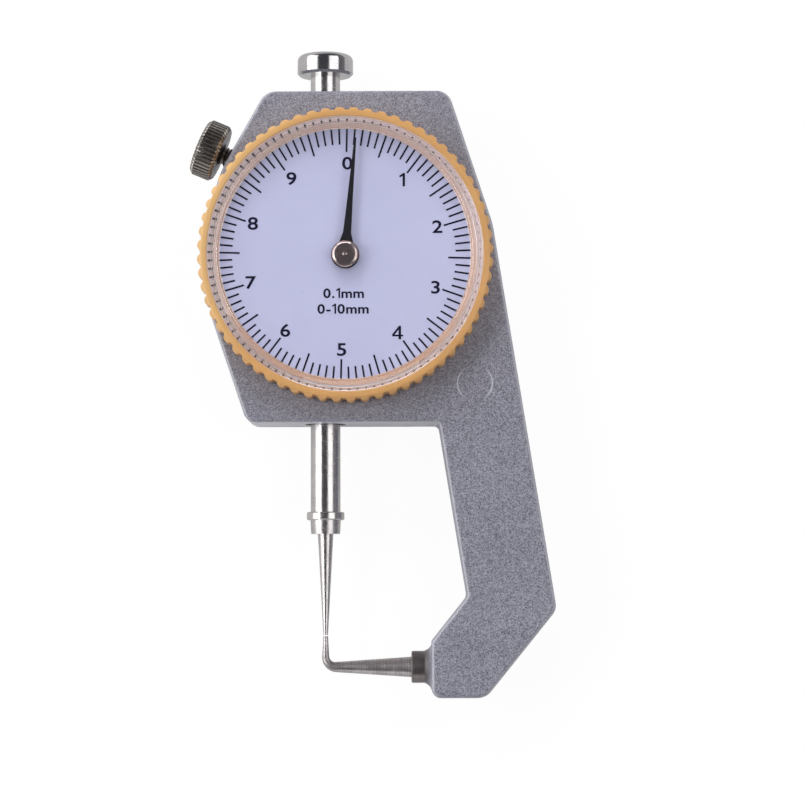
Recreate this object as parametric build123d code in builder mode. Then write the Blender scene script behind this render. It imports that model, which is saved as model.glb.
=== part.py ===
from build123d import *
import math
import os

# Dial thickness gauge with a C-shaped frame, lying on its back.
# The origin is on the back face, on the axis of the hand's arbor.
# +Z comes out of the dial, +Y is the way the spindle lifts, +X points at the arm.
# All lengths are millimetres and all angles are degrees.

# Running and seating clearances, measured on the radius
running_fit = 0.04
seat_fit = 0.02

# Case and arm in plan, measured from the arbor axis
case_top = 24.7
case_bottom = 24.3
case_top_left = 11.85
case_top_right = 15.1
case_left = 19.9
left_flat_top = 10.3
left_flat_bottom = 8.4
case_bottom_left = 14.55
shoulder_x = 21.6
shoulder_y = 4.9
throat_x = 13.55
knee_x = 30.65
knee_drop = 51.7
foot_right = 20.25
foot_left = 12.4
foot_drop = 64.53
foot_top_drop = 56.35
inner_knee_x = 17.65
inner_knee_drop = 49.75

# Corner radii of the outline
top_left_radius = 2.7
top_right_radius = 2.4
shoulder_radius = 12.0
knee_radius = 2.2
foot_outer_radius = 2.6
foot_inner_radius = 1.4
foot_top_radius = 0.6
inner_knee_radius = 1.2
throat_radius = 0.8
bottom_left_radius = 1.9
left_lower_radius = 8.0
left_upper_radius = 20.0
edge_fillet = 0.6

# Spindle, its rack and its travel
spindle_radius = 2.2
travel = 10.0
rack_tooth_length = 0.625
pinion_teeth = 16
pressure_angle = 20.0
tooth_play = 0.03
root_gap = 0.06
tooth_foot_depth = 0.04
mesh_reach = 1.9
rack_depth = 1.61

# Layers through the case, from the back face
cover_thickness = 1.2
screw_room = 1.0
bridge_thickness = 1.1
bridge_gap = 0.5
web_gap = 0.3
web_thickness = 1.7
web_depth = 1.8
web_hole_depth = 0.85

# Movement pocket and the fastenings of its cover
pocket_radius = 14.6
cover_ledge = 2.9
cover_screw_inset = 1.3
cover_screw_count = 4
cover_screw_start = 45.0
cover_screw_radius = 0.6
cover_screw_head_radius = 1.2
cover_screw_head_height = 0.72
cover_slot_width = 0.3
cover_slot_depth = 0.3
cover_screw_length = 4.2
tapped_gap = 0.05

# Bridge over the arbor's rear end
bridge_width = 4.4
bridge_eye_radius = 3.0
bridge_end_gap = 0.25
pillar_inset = 1.6
pillar_radius = 1.5
bridge_screw_radius = 0.5
bridge_screw_head_radius = 1.0
bridge_screw_head_height = 0.7
bridge_slot_width = 0.25
bridge_slot_depth = 0.35
bridge_screw_grip = 2.8

# Arbor and its two bearings
arbor_radius = 0.7
pivot_radius = 0.4
rear_bearing_radius = 1.1
front_bearing_radius = 1.5
pinion_half_width = 1.3

# Spindle bushes in the case walls
bush_radius = 3.0
bush_length = 6.0
bush_recess = 0.2
bore_gap = 0.15

# Guide pin and the slotted guide it runs in
pin_radius = 0.8
pin_tip_radius = 0.6
pin_rest = -1.5
pin_reach = 7.2
guide_near = 2.8
guide_width = 2.3
guide_wall = 1.2
guide_end = 1.9
guide_stop_gap = 0.03
guide_screw_radius = 0.45
guide_screw_head_radius = 0.9
guide_screw_head_height = 0.5

# Return spring between the pin and its post
spring_offset = 6.4
spring_post_rest = -9.4
spring_post_radius = 0.6
spring_post_head_radius = 0.9
spring_radius = 0.82
spring_wire = 0.175
spring_turns = 9.25
spring_hook_run = 0.85

# Button, stop collar and contact point on the spindle
button_stand = 3.25
button_height = 3.13
button_radius = 4.15
button_round = 0.9
button_chamfer = 0.35
button_hole_gap = 0.1
button_stud_radius = 1.25
button_stud_length = 2.4
collar_height = 1.18
collar_radius = 2.78
collar_chamfer = 0.15
spigot_radius = 1.5
contact_base_height = 2.03
contact_base_radius = 2.25
contact_base_end_radius = 2.15
contact_stud_radius = 0.9
contact_stud_length = 3.0
needle_length = 14.91
needle_root_radius = 1.15
needle_tip_radius = 0.35

# Anvil on the foot
anvil_drop = 60.1
anvil_rise = 4.56
tip_gap = 0.15
anvil_tip_radius = 0.36
anvil_neck_radius = 0.52
anvil_elbow_radius = 0.76
anvil_root_radius = 1.5
anvil_bend_radius = 1.55
anvil_shank_radius = 1.5
anvil_shank_length = 5.0
anvil_collar_radius = 2.35
anvil_collar_length = 1.95
boss_radius = 2.42
boss_height = 1.0
boss_flare = 1.0
boss_flare_radius = 1.4

# Bezel, its grip lobes and the skirt that turns in the case
bezel_gap = 0.25
bezel_floor = 0.75
rim_height = 3.1
rim_wall = 0.97
rim_round = 0.9
rim_chamfer = 0.2
lobe_count = 64
lobe_height = 0.5
lobe_radius = 0.75
lobe_phase = 92.1
skirt_radius = 17.4
skirt_wall = 1.5
skirt_play = 0.1
groove_depth = 3.2
snap_wire = 0.25
snap_play = 0.07
snap_split = 8.0
snap_rise = 0.8

# Dial and crystal
bezel_bore_radius = 20.1
dial_thickness = 0.5
dial_gap = 0.2
dial_hole_radius = 1.4
crystal_gap = 0.05
crystal_thickness = 1.2
crystal_bevel_width = 1.45
crystal_bevel_height = 1.2
crystal_inner_bevel_width = 0.95
crystal_inner_bevel_height = 1.0
crystal_wall = 1.05

# Hand and its hub
hand_gap = 1.0
hand_thickness = 0.25
hand_length = 17.25
hand_turn = 5.0
hand_root = 1.4
hand_root_width = 2.3
hand_neck = 3.2
hand_neck_width = 1.18
hand_waist = 7.7
hand_waist_width = 0.85
hand_tip_width = 0.28
hub_radius = 1.95
hub_round = 0.2
hub_height = 0.95
hub_cap = 0.35
hub_bush_radius = 1.1
hub_bush_drop = 0.5
hub_gap = 0.6

# Hairspring round the arbor
hairspring_turns = 5
hairspring_turn_width = 0.7
hairspring_strip = 0.12
hairspring_height = 0.5
collet_radius = 1.3
collet_height = 0.8
collet_rise = 0.5
stud_radius = 0.5
stud_height = 1.4

# Lock screw at the upper left
lock_x = -20.04
lock_y = 16.24
lock_slope = -23.0
lock_depth = 2.4
knob_radius = 4.3
knob_thickness = 3.4
knob_chamfer = 0.45
lock_thread_radius = 1.5
lock_tip_radius = 0.7
lock_tip_length = 1.1
lock_tip_gap = 0.05

# Heights worked out from the layers
cover_radius = pocket_radius + cover_ledge
cover_screw_offset = pocket_radius + cover_screw_inset
pillar_offset = pocket_radius - pillar_inset
bridge_back = cover_thickness + screw_room
bridge_front = bridge_back + bridge_thickness
spindle_height = bridge_front + bridge_gap + spindle_radius
web_back = spindle_height + spindle_radius + web_gap
web_front = web_back + web_thickness
case_thickness = web_front + web_depth
groove_floor = case_thickness - groove_depth
bezel_base = case_thickness + bezel_gap
dial_back = bezel_base + bezel_floor
dial_front = dial_back + dial_thickness
rim_front = dial_front + rim_height
hand_back = dial_front + hand_gap
hub_back = hand_back + hand_thickness
hub_front = hub_back + hub_height
crystal_back = hub_front + hub_gap
crystal_front = crystal_back + crystal_thickness
skirt_back = groove_floor + skirt_play
snap_height = groove_floor + snap_rise
lock_height = case_thickness - lock_depth
collet_back = web_front + collet_rise
hairspring_back = collet_back + (collet_height - hairspring_height) / 2

# Radii worked out from the fits
groove_outer = skirt_radius + running_fit
skirt_inner = skirt_radius - skirt_wall
groove_inner = skirt_inner - skirt_play
dial_radius = bezel_bore_radius - dial_gap
crystal_radius = bezel_bore_radius - crystal_gap
crystal_inner_radius = crystal_radius - crystal_wall
crystal_flat_radius = crystal_inner_radius - crystal_inner_bevel_width
valley_radius = bezel_bore_radius + rim_wall
lobe_tip_radius = valley_radius + lobe_height
hairspring_start = collet_radius + running_fit + hairspring_strip / 2
hairspring_end = hairspring_start + hairspring_turns * hairspring_turn_width
stud_offset = hairspring_end + hairspring_strip / 2 + seat_fit + stud_radius

# Rack and pinion proportions
gear_module = rack_tooth_length / math.pi
pitch_radius = gear_module * pinion_teeth / 2
tooth_tip = gear_module - tooth_play
tooth_root = gear_module + root_gap
pinion_tip_radius = pitch_radius + tooth_tip
spindle_offset = pitch_radius + rack_depth
rack_half_count = math.ceil((travel / 2 + mesh_reach) / rack_tooth_length)
rack_middle = -rack_tooth_length * round(travel / 2 / rack_tooth_length)
rack_gaps = 2 * rack_half_count + 1

# Places along the spindle, at rest
anvil_tip_y = anvil_rise - anvil_drop
contact_tip_y = anvil_tip_y + tip_gap
contact_base_y = contact_tip_y + needle_length
collar_low_y = contact_base_y + contact_base_height
spindle_end_y = collar_low_y + collar_height
button_seat_y = case_top + button_stand
button_top_y = button_seat_y + button_height
guide_bottom_y = pin_rest - pin_radius - guide_stop_gap
guide_top_y = pin_rest + travel + pin_radius + guide_stop_gap

# Planes that the pieces are built on
spindle_plane = Plane(origin=(-spindle_offset, 0, spindle_height), x_dir=(1, 0, 0), z_dir=(0, 1, 0))
pin_plane = Plane(origin=(-spindle_offset, pin_rest, spindle_height), x_dir=(0, 1, 0), z_dir=(-1, 0, 0))
foot_plane = Plane(origin=(foot_left, -anvil_drop, spindle_height), x_dir=(0, 1, 0), z_dir=(-1, 0, 0))
lock_axis = (math.cos(math.radians(lock_slope)), math.sin(math.radians(lock_slope)))
lock_plane = Plane(
    origin=(lock_x, lock_y, lock_height),
    x_dir=(0, 0, 1),
    z_dir=(lock_axis[0], lock_axis[1], 0),
)

# The lock screw's round tip stops just short of the bezel's skirt
lock_along = lock_x * lock_axis[0] + lock_y * lock_axis[1]
lock_far_squared = lock_x**2 + lock_y**2
lock_stop_radius = skirt_radius + lock_tip_radius + lock_tip_gap
lock_tip_centre = -lock_along - math.sqrt(lock_along**2 - lock_far_squared + lock_stop_radius**2)
lock_thread_end = lock_tip_centre - lock_tip_length

centre_low = (Align.CENTER, Align.CENTER, Align.MIN)
centre_high = (Align.CENTER, Align.CENTER, Align.MAX)

os.makedirs("parts", exist_ok=True)

# Frame: the case, its arm and foot in one casting
case_points = [
    (-case_top_left, case_top),
    (case_top_right, case_top),
    (shoulder_x, shoulder_y),
    (knee_x, -knee_drop),
    (foot_right, -foot_drop),
    (foot_left, -foot_drop),
    (foot_left, -foot_top_drop),
    (inner_knee_x, -inner_knee_drop),
    (throat_x, -case_bottom),
    (-case_bottom_left, -case_bottom),
    (-case_left, -left_flat_bottom),
    (-case_left, left_flat_top),
]
case_radii = [
    top_left_radius,
    top_right_radius,
    shoulder_radius,
    knee_radius,
    foot_outer_radius,
    foot_inner_radius,
    foot_top_radius,
    inner_knee_radius,
    throat_radius,
    bottom_left_radius,
    left_lower_radius,
    left_upper_radius,
]
boss_foot_radius = boss_radius + boss_flare

with BuildPart() as frame:
    with BuildSketch(Plane.XY):
        with BuildLine():
            FilletPolyline(*case_points, radius=case_radii, close=True)
        make_face()
    extrude(amount=case_thickness)
    rims = frame.edges().group_by(Axis.Z)
    fillet(rims[0] + rims[-1], edge_fillet)
    # round boss that the anvil's collar seats on
    with BuildSketch(Plane(foot_plane.origin, x_dir=foot_plane.z_dir, z_dir=(0, 0, 1))):
        with BuildLine():
            Polyline((boss_height, boss_radius), (boss_height, 0), (-boss_height, 0),
                     (-boss_height, boss_foot_radius), (0, boss_foot_radius))
            RadiusArc((0, boss_foot_radius), (boss_height, boss_radius), -boss_flare_radius)
        make_face()
    revolve(axis=Axis(foot_plane.origin, foot_plane.z_dir))
    # movement pocket, open at the back, and the seat of its cover
    with BuildSketch(Plane.XY):
        Circle(pocket_radius)
    extrude(amount=web_back, mode=Mode.SUBTRACT)
    with BuildSketch(Plane.XY):
        Circle(cover_radius + seat_fit)
    extrude(amount=cover_thickness, mode=Mode.SUBTRACT)
    # round well under the dial and the groove that the bezel's skirt turns in
    with BuildSketch(Plane.XY.offset(web_front)):
        Circle(groove_outer)
    extrude(amount=web_depth, mode=Mode.SUBTRACT)
    with BuildSketch(Plane.XY.offset(groove_floor)):
        Circle(groove_outer)
        Circle(groove_inner, mode=Mode.SUBTRACT)
    extrude(amount=groove_depth, mode=Mode.SUBTRACT)
    with BuildSketch(Plane.XZ):
        with Locations((groove_inner, snap_height)):
            Circle(snap_wire + seat_fit)
    revolve(axis=Axis.Z, mode=Mode.SUBTRACT)
    # pillars that carry the bridge
    with BuildSketch(Plane.XY.offset(bridge_front)):
        with Locations((pillar_offset, 0), (-pillar_offset, 0)):
            Circle(pillar_radius)
    extrude(amount=web_back - bridge_front)
    with BuildSketch(Plane.XY.offset(bridge_front)):
        with Locations((pillar_offset, 0), (-pillar_offset, 0)):
            Circle(bridge_screw_radius + tapped_gap)
    extrude(amount=bridge_screw_grip, mode=Mode.SUBTRACT)
    # seat of the front bearing
    with BuildSketch(Plane.XY.offset(web_back)):
        Circle(front_bearing_radius + seat_fit)
    extrude(amount=web_thickness, mode=Mode.SUBTRACT)
    # holes for the guide's screws, the spring post and the hairspring's stud
    with BuildSketch(Plane.XY.offset(web_back)):
        with Locations((-spindle_offset - guide_near - guide_width / 2, guide_bottom_y - guide_end / 2),
                       (-spindle_offset - guide_near - guide_width / 2, guide_top_y + guide_end / 2)):
            Circle(guide_screw_radius + tapped_gap)
        with Locations((-spindle_offset - spring_offset, spring_post_rest)):
            Circle(spring_post_radius + seat_fit)
    extrude(amount=web_hole_depth, mode=Mode.SUBTRACT)
    with BuildSketch(Plane.XY.offset(web_front)):
        with Locations((stud_offset, 0)):
            Circle(stud_radius + seat_fit)
    extrude(amount=-web_hole_depth, mode=Mode.SUBTRACT)
    # bore of the spindle and the seats of its two bushes
    with BuildSketch(spindle_plane.offset(-case_bottom)):
        Circle(spindle_radius + bore_gap)
    extrude(amount=case_bottom + case_top, mode=Mode.SUBTRACT)
    with BuildSketch(spindle_plane.offset(case_top - bush_length)):
        Circle(bush_radius + seat_fit)
    extrude(amount=bush_length, mode=Mode.SUBTRACT)
    with BuildSketch(spindle_plane.offset(-case_bottom)):
        Circle(bush_radius + seat_fit)
    extrude(amount=bush_length, mode=Mode.SUBTRACT)
    # tapped hole of the lock screw, narrower where it meets the groove
    with BuildSketch(lock_plane):
        Circle(lock_thread_radius + tapped_gap)
    extrude(amount=lock_thread_end + tapped_gap, mode=Mode.SUBTRACT)
    with BuildSketch(lock_plane):
        Circle(lock_tip_radius + tapped_gap)
    extrude(amount=lock_tip_centre + lock_tip_radius, mode=Mode.SUBTRACT)
    # tapped holes of the cover's screws
    with BuildSketch(Plane.XY.offset(cover_thickness)):
        with PolarLocations(cover_screw_offset, cover_screw_count, start_angle=cover_screw_start):
            Circle(cover_screw_radius + tapped_gap)
    extrude(amount=cover_screw_length - cover_thickness + tapped_gap, mode=Mode.SUBTRACT)
    # hole of the anvil's shank
    with BuildSketch(foot_plane.offset(boss_height)):
        Circle(anvil_shank_radius + seat_fit)
    extrude(amount=-anvil_shank_length - boss_height, mode=Mode.SUBTRACT)
frame.part.label = "frame"
export_step(frame.part, "parts/frame.step")

# Back cover: a flush disc with countersunk holes
with BuildPart() as back_cover:
    with BuildSketch(Plane.XY):
        Circle(cover_radius)
        with PolarLocations(cover_screw_offset, cover_screw_count, start_angle=cover_screw_start):
            Circle(cover_screw_radius + tapped_gap, mode=Mode.SUBTRACT)
    extrude(amount=cover_thickness)
    with PolarLocations(cover_screw_offset, cover_screw_count, start_angle=cover_screw_start):
        Cone(cover_screw_head_radius + tapped_gap, cover_screw_radius + tapped_gap, cover_screw_head_height,
             align=centre_low, mode=Mode.SUBTRACT)
back_cover.part.label = "back_cover"
export_step(back_cover.part, "parts/back_cover.step")

# Cover screws: countersunk, slotted
with BuildPart() as cover_screws:
    with PolarLocations(cover_screw_offset, cover_screw_count, start_angle=cover_screw_start):
        Cone(cover_screw_head_radius, cover_screw_radius, cover_screw_head_height, align=centre_low)
        Cylinder(cover_screw_radius, cover_screw_length, align=centre_low)
        Box(2 * cover_screw_head_radius, cover_slot_width, cover_slot_depth,
            align=centre_low, mode=Mode.SUBTRACT)
cover_screws.part.label = "cover_screws"
export_step(cover_screws.part, "parts/cover_screws.step")

# Movement bridge: a bar across the pocket with an eye for the rear bearing
with BuildPart() as movement_bridge:
    with BuildSketch(Plane.XY.offset(bridge_back)):
        Circle(pocket_radius - bridge_end_gap)
        Rectangle(2 * pocket_radius, bridge_width, mode=Mode.INTERSECT)
        Circle(bridge_eye_radius)
        Circle(rear_bearing_radius + seat_fit, mode=Mode.SUBTRACT)
        with Locations((pillar_offset, 0), (-pillar_offset, 0)):
            Circle(bridge_screw_radius + tapped_gap, mode=Mode.SUBTRACT)
    extrude(amount=bridge_thickness)
movement_bridge.part.label = "movement_bridge"
export_step(movement_bridge.part, "parts/movement_bridge.step")

# Bridge screws: slotted cheese heads
with BuildPart() as bridge_screws:
    with Locations((pillar_offset, 0, bridge_back), (-pillar_offset, 0, bridge_back)):
        Cylinder(bridge_screw_head_radius, bridge_screw_head_height, align=centre_high)
        Cylinder(bridge_screw_radius, bridge_thickness + bridge_screw_grip - tapped_gap, align=centre_low)
    with Locations((pillar_offset, 0, bridge_back - bridge_screw_head_height),
                   (-pillar_offset, 0, bridge_back - bridge_screw_head_height)):
        Box(2 * bridge_screw_head_radius, bridge_slot_width, bridge_slot_depth,
            align=centre_low, mode=Mode.SUBTRACT)
bridge_screws.part.label = "bridge_screws"
export_step(bridge_screws.part, "parts/bridge_screws.step")

# Rear bearing: a brass bush in the bridge's eye
with BuildPart() as rear_bearing:
    with BuildSketch(Plane.XY.offset(bridge_back)):
        Circle(rear_bearing_radius)
        Circle(pivot_radius + running_fit, mode=Mode.SUBTRACT)
    extrude(amount=bridge_thickness)
rear_bearing.part.label = "rear_bearing"
export_step(rear_bearing.part, "parts/rear_bearing.step")

# Front bearing: a brass bush in the case's web
with BuildPart() as front_bearing:
    with BuildSketch(Plane.XY.offset(web_back)):
        Circle(front_bearing_radius)
        Circle(arbor_radius + running_fit, mode=Mode.SUBTRACT)
    extrude(amount=web_thickness)
front_bearing.part.label = "front_bearing"
export_step(front_bearing.part, "parts/front_bearing.step")

# Upper and lower bushes of the spindle
with BuildPart() as upper_bush:
    with BuildSketch(spindle_plane.offset(case_top - bush_length)):
        Circle(bush_radius)
        Circle(spindle_radius + running_fit, mode=Mode.SUBTRACT)
    extrude(amount=bush_length - bush_recess)
upper_bush.part.label = "upper_bush"
export_step(upper_bush.part, "parts/upper_bush.step")

with BuildPart() as lower_bush:
    with BuildSketch(spindle_plane.offset(bush_recess - case_bottom)):
        Circle(bush_radius)
        Circle(spindle_radius + running_fit, mode=Mode.SUBTRACT)
    extrude(amount=bush_length - bush_recess)
lower_bush.part.label = "lower_bush"
export_step(lower_bush.part, "parts/lower_bush.step")

# Spindle: one rod with the rack cut in its right side
rack_slope = math.tan(math.radians(pressure_angle))
gap_half = rack_tooth_length / 4 + tooth_play / 2
gap_mouth = gap_half + tooth_tip * rack_slope
gap_floor = gap_half - tooth_root * rack_slope

with BuildSketch() as rack_gap:
    with BuildLine():
        Polyline((-tooth_root, -gap_floor), (tooth_tip, -gap_mouth),
                 (tooth_tip, gap_mouth), (-tooth_root, gap_floor), close=True)
    make_face()

with BuildPart() as spindle_rod:
    with BuildSketch(spindle_plane.offset(spindle_end_y)):
        Circle(spindle_radius)
    extrude(amount=button_seat_y - spindle_end_y)
    with BuildSketch(spindle_plane.offset(collar_low_y)):
        Circle(spigot_radius)
    extrude(amount=collar_height)
    with BuildSketch(spindle_plane.offset(button_seat_y)):
        Circle(button_stud_radius)
    extrude(amount=button_stud_length)
    # blind hole for the contact point's stud
    with BuildSketch(spindle_plane.offset(collar_low_y)):
        Circle(contact_stud_radius + seat_fit)
    extrude(amount=contact_stud_length, mode=Mode.SUBTRACT)
    # cross hole for the guide pin
    with BuildSketch(pin_plane):
        Circle(pin_radius + seat_fit)
    extrude(amount=spindle_radius, mode=Mode.SUBTRACT)
    # flat of the rack, then the gaps between its teeth
    with BuildSketch(Plane.XY.offset(spindle_height)):
        with Locations((tooth_tip - pitch_radius, rack_middle)):
            Rectangle(2 * spindle_radius, rack_gaps * rack_tooth_length, align=(Align.MIN, Align.CENTER))
    extrude(amount=spindle_radius, both=True, mode=Mode.SUBTRACT)
    with BuildSketch(Plane.XY.offset(spindle_height)):
        with Locations((-pitch_radius, rack_middle)):
            with GridLocations(rack_tooth_length, rack_tooth_length, 1, rack_gaps):
                add(rack_gap.sketch)
    extrude(amount=spindle_radius, both=True, mode=Mode.SUBTRACT)
spindle_rod.part.label = "spindle_rod"
export_step(spindle_rod.part, "parts/spindle_rod.step")

# Guide pin: pressed into the spindle, its thin end carries the spring
with BuildPart() as guide_pin:
    with BuildSketch(pin_plane):
        Circle(pin_radius)
    extrude(amount=guide_near + guide_width)
    with BuildSketch(pin_plane):
        Circle(pin_tip_radius)
    extrude(amount=pin_reach)
guide_pin.part.label = "guide_pin"
export_step(guide_pin.part, "parts/guide_pin.step")

# Spindle guide: a block on the web whose slot holds the pin and stops it at both ends
guide_length = guide_top_y - guide_bottom_y
guide_middle = (guide_top_y + guide_bottom_y) / 2
guide_x = -spindle_offset - guide_near - guide_width / 2
guide_back = spindle_height - pin_radius - running_fit - guide_wall

with BuildPart() as spindle_guide:
    with BuildSketch(Plane.XY.offset(guide_back)):
        with Locations((guide_x, guide_middle)):
            Rectangle(guide_width, guide_length + 2 * guide_end)
        with Locations((guide_x, guide_bottom_y - guide_end / 2), (guide_x, guide_top_y + guide_end / 2)):
            Circle(guide_screw_radius + tapped_gap, mode=Mode.SUBTRACT)
    extrude(amount=web_back - guide_back)
    with BuildSketch(Plane((guide_x, guide_middle, spindle_height), x_dir=(0, 1, 0), z_dir=(1, 0, 0))):
        SlotOverall(guide_length, 2 * (pin_radius + running_fit))
    extrude(amount=guide_width, both=True, mode=Mode.SUBTRACT)
spindle_guide.part.label = "spindle_guide"
export_step(spindle_guide.part, "parts/spindle_guide.step")

# Guide screws: cheese heads on the guide's back
guide_screw_length = web_back - guide_back + web_hole_depth - tapped_gap
with BuildPart() as guide_screws:
    with Locations((guide_x, guide_bottom_y - guide_end / 2, guide_back),
                   (guide_x, guide_top_y + guide_end / 2, guide_back)):
        Cylinder(guide_screw_head_radius, guide_screw_head_height, align=centre_high)
        Cylinder(guide_screw_radius, guide_screw_length, align=centre_low)
guide_screws.part.label = "guide_screws"
export_step(guide_screws.part, "parts/guide_screws.step")

# Spring post: pressed into the web, with a head that keeps the spring's eye on
post_place = (-spindle_offset - spring_offset, spring_post_rest, web_back + web_hole_depth)
post_length = web_back + web_hole_depth - spindle_height + spring_post_head_radius
with BuildPart() as spring_post:
    with Locations(post_place):
        Cylinder(spring_post_radius, post_length, align=centre_high)
    with Locations((post_place[0], post_place[1], post_place[2] - post_length)):
        Cylinder(spring_post_head_radius, spring_wire, align=centre_high)
spring_post.part.label = "spring_post"
export_step(spring_post.part, "parts/spring_post.step")

# Return spring: a tension coil hooked on the pin above and on the post below
def half_hook(start, centre):
    """Draw a coil's straight end and the half loop that goes round its pin.

    Args:
        start: end point of the coil.
        centre: centre of the loop, on the coil's axis.
    """
    side = Vector(start.X, centre.Y, start.Z)
    reach = side - centre
    beyond = (centre - Vector(centre.X, start.Y, centre.Z)).normalized() * reach.length
    Line(start, side)
    ThreePointArc(side, centre + beyond, centre - reach)


hook_slack = spring_radius - spring_wire - spring_post_radius - seat_fit
spring_x = -spindle_offset - spring_offset
pin_hook_centre = Vector(spring_x, pin_rest - hook_slack, spindle_height)
post_hook_centre = Vector(spring_x, spring_post_rest + hook_slack, spindle_height)
coil_length = pin_hook_centre.Y - post_hook_centre.Y - 2 * spring_hook_run

with BuildPart() as return_spring:
    with BuildLine():
        coil = Helix(coil_length / spring_turns, coil_length, spring_radius,
                     center=pin_hook_centre - Vector(0, spring_hook_run, 0), direction=(0, -1, 0))
    with BuildSketch(Plane(origin=coil @ 0, z_dir=coil % 0)):
        Circle(spring_wire)
    sweep(path=coil)
    with BuildLine() as pin_hook:
        half_hook(coil @ 0, pin_hook_centre)
    with BuildSketch(Plane(origin=coil @ 0, z_dir=(0, 1, 0))):
        Circle(spring_wire)
    sweep(path=pin_hook.wires()[0])
    with BuildLine() as post_hook:
        half_hook(coil @ 1, post_hook_centre)
    with BuildSketch(Plane(origin=coil @ 1, z_dir=(0, -1, 0))):
        Circle(spring_wire)
    sweep(path=post_hook.wires()[0])
return_spring.part.label = "return_spring"
export_step(return_spring.part, "parts/return_spring.step")

# Lifting button: a round cap screwed on the spindle's upper end
axis_plane = Plane(origin=spindle_plane.origin, x_dir=(0, 1, 0), z_dir=(0, 0, 1))
spindle_axis = Axis(spindle_plane.origin, spindle_plane.z_dir)
button_hole_end = button_seat_y + button_stud_length + button_hole_gap

with BuildPart() as lifting_button:
    with BuildSketch(axis_plane):
        with BuildLine():
            Polyline((button_top_y, button_radius - button_round), (button_top_y, 0), (button_hole_end, 0),
                     (button_hole_end, button_stud_radius + seat_fit),
                     (button_seat_y, button_stud_radius + seat_fit),
                     (button_seat_y, button_radius - button_chamfer),
                     (button_seat_y + button_chamfer, button_radius),
                     (button_top_y - button_round, button_radius))
            RadiusArc((button_top_y - button_round, button_radius),
                      (button_top_y, button_radius - button_round), button_round)
        make_face()
    revolve(axis=spindle_axis)
lifting_button.part.label = "lifting_button"
export_step(lifting_button.part, "parts/lifting_button.step")

# Stop collar: a flange ring on the spindle's spigot
with BuildPart() as stop_collar:
    with BuildSketch(axis_plane):
        with BuildLine():
            Polyline((collar_low_y, spigot_radius + seat_fit),
                     (collar_low_y, collar_radius - collar_chamfer),
                     (collar_low_y + collar_chamfer, collar_radius),
                     (spindle_end_y - collar_chamfer, collar_radius),
                     (spindle_end_y, collar_radius - collar_chamfer),
                     (spindle_end_y, spigot_radius + seat_fit), close=True)
        make_face()
    revolve(axis=spindle_axis)
stop_collar.part.label = "stop_collar"
export_step(stop_collar.part, "parts/stop_collar.step")

# Contact needle: a slim cone with a round base, screwed into the spindle
with BuildPart() as contact_needle:
    with BuildSketch(axis_plane):
        with BuildLine():
            Polyline((contact_tip_y, 0), (contact_tip_y, needle_tip_radius),
                     (contact_base_y, needle_root_radius),
                     (contact_base_y, contact_base_end_radius),
                     (collar_low_y, contact_base_radius),
                     (collar_low_y, contact_stud_radius),
                     (collar_low_y + contact_stud_length - seat_fit, contact_stud_radius),
                     (collar_low_y + contact_stud_length - seat_fit, 0), close=True)
        make_face()
    revolve(axis=spindle_axis)
contact_needle.part.label = "contact_needle"
export_step(contact_needle.part, "parts/contact_needle.step")

# Anvil: a tapered bar out of the foot whose end bends up to face the contact
anvil_root = boss_height + anvil_collar_length
bend_start = foot_left + spindle_offset - anvil_bend_radius
bend_centre = (anvil_bend_radius - spindle_offset, anvil_bend_radius - anvil_drop, spindle_height)
riser_plane = Plane(
    origin=(-spindle_offset, bend_centre[1], spindle_height),
    x_dir=(1, 0, 0),
    z_dir=(0, 1, 0),
)

with BuildPart() as anvil_needle:
    with BuildSketch(foot_plane.offset(seat_fit - anvil_shank_length)):
        Circle(anvil_shank_radius)
    extrude(amount=anvil_shank_length - seat_fit + anvil_root)
    with BuildSketch(foot_plane.offset(anvil_root)):
        Circle(anvil_root_radius)
    with BuildSketch(foot_plane.offset(bend_start)):
        Circle(anvil_elbow_radius)
    loft()
    with BuildLine(Plane.XY.offset(spindle_height)):
        CenterArc((bend_centre[0], bend_centre[1]), anvil_bend_radius, 270, -90)
    with BuildSketch(foot_plane.offset(bend_start)):
        Circle(anvil_elbow_radius)
    with BuildSketch(riser_plane):
        Circle(anvil_neck_radius)
    sweep(multisection=True)
    with BuildSketch(riser_plane):
        Circle(anvil_neck_radius)
    with BuildSketch(riser_plane.offset(anvil_rise - anvil_bend_radius)):
        Circle(anvil_tip_radius)
    loft()
anvil_needle.part.label = "anvil_needle"
export_step(anvil_needle.part, "parts/anvil_needle.step")

# Anvil collar: a ring between the boss and the anvil's taper
with BuildPart() as anvil_collar:
    with BuildSketch(foot_plane.offset(boss_height)):
        Circle(anvil_collar_radius)
        Circle(anvil_shank_radius + seat_fit, mode=Mode.SUBTRACT)
    extrude(amount=anvil_collar_length)
    chamfer(anvil_collar.edges().group_by(Axis.X)[0].sort_by(SortBy.LENGTH)[-1], collar_chamfer)
anvil_collar.part.label = "anvil_collar"
export_step(anvil_collar.part, "parts/anvil_collar.step")

# Arbor and pinion in one piece
base_radius = pitch_radius * math.cos(math.radians(pressure_angle))
pitch_half_angle = math.pi / (2 * pinion_teeth) - tooth_play / (2 * pitch_radius)


def flank_point(radius):
    """Give a point of an involute tooth flank.

    Args:
        radius: distance of the point from the pinion's axis.

    Returns:
        The x and y of the point, for a tooth that points along +X.
    """
    roll = math.acos(base_radius / radius)
    roll_at_pitch = math.radians(pressure_angle)
    angle = pitch_half_angle + (math.tan(roll_at_pitch) - roll_at_pitch) - (math.tan(roll) - roll)
    return radius * math.cos(angle), radius * math.sin(angle)


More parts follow.
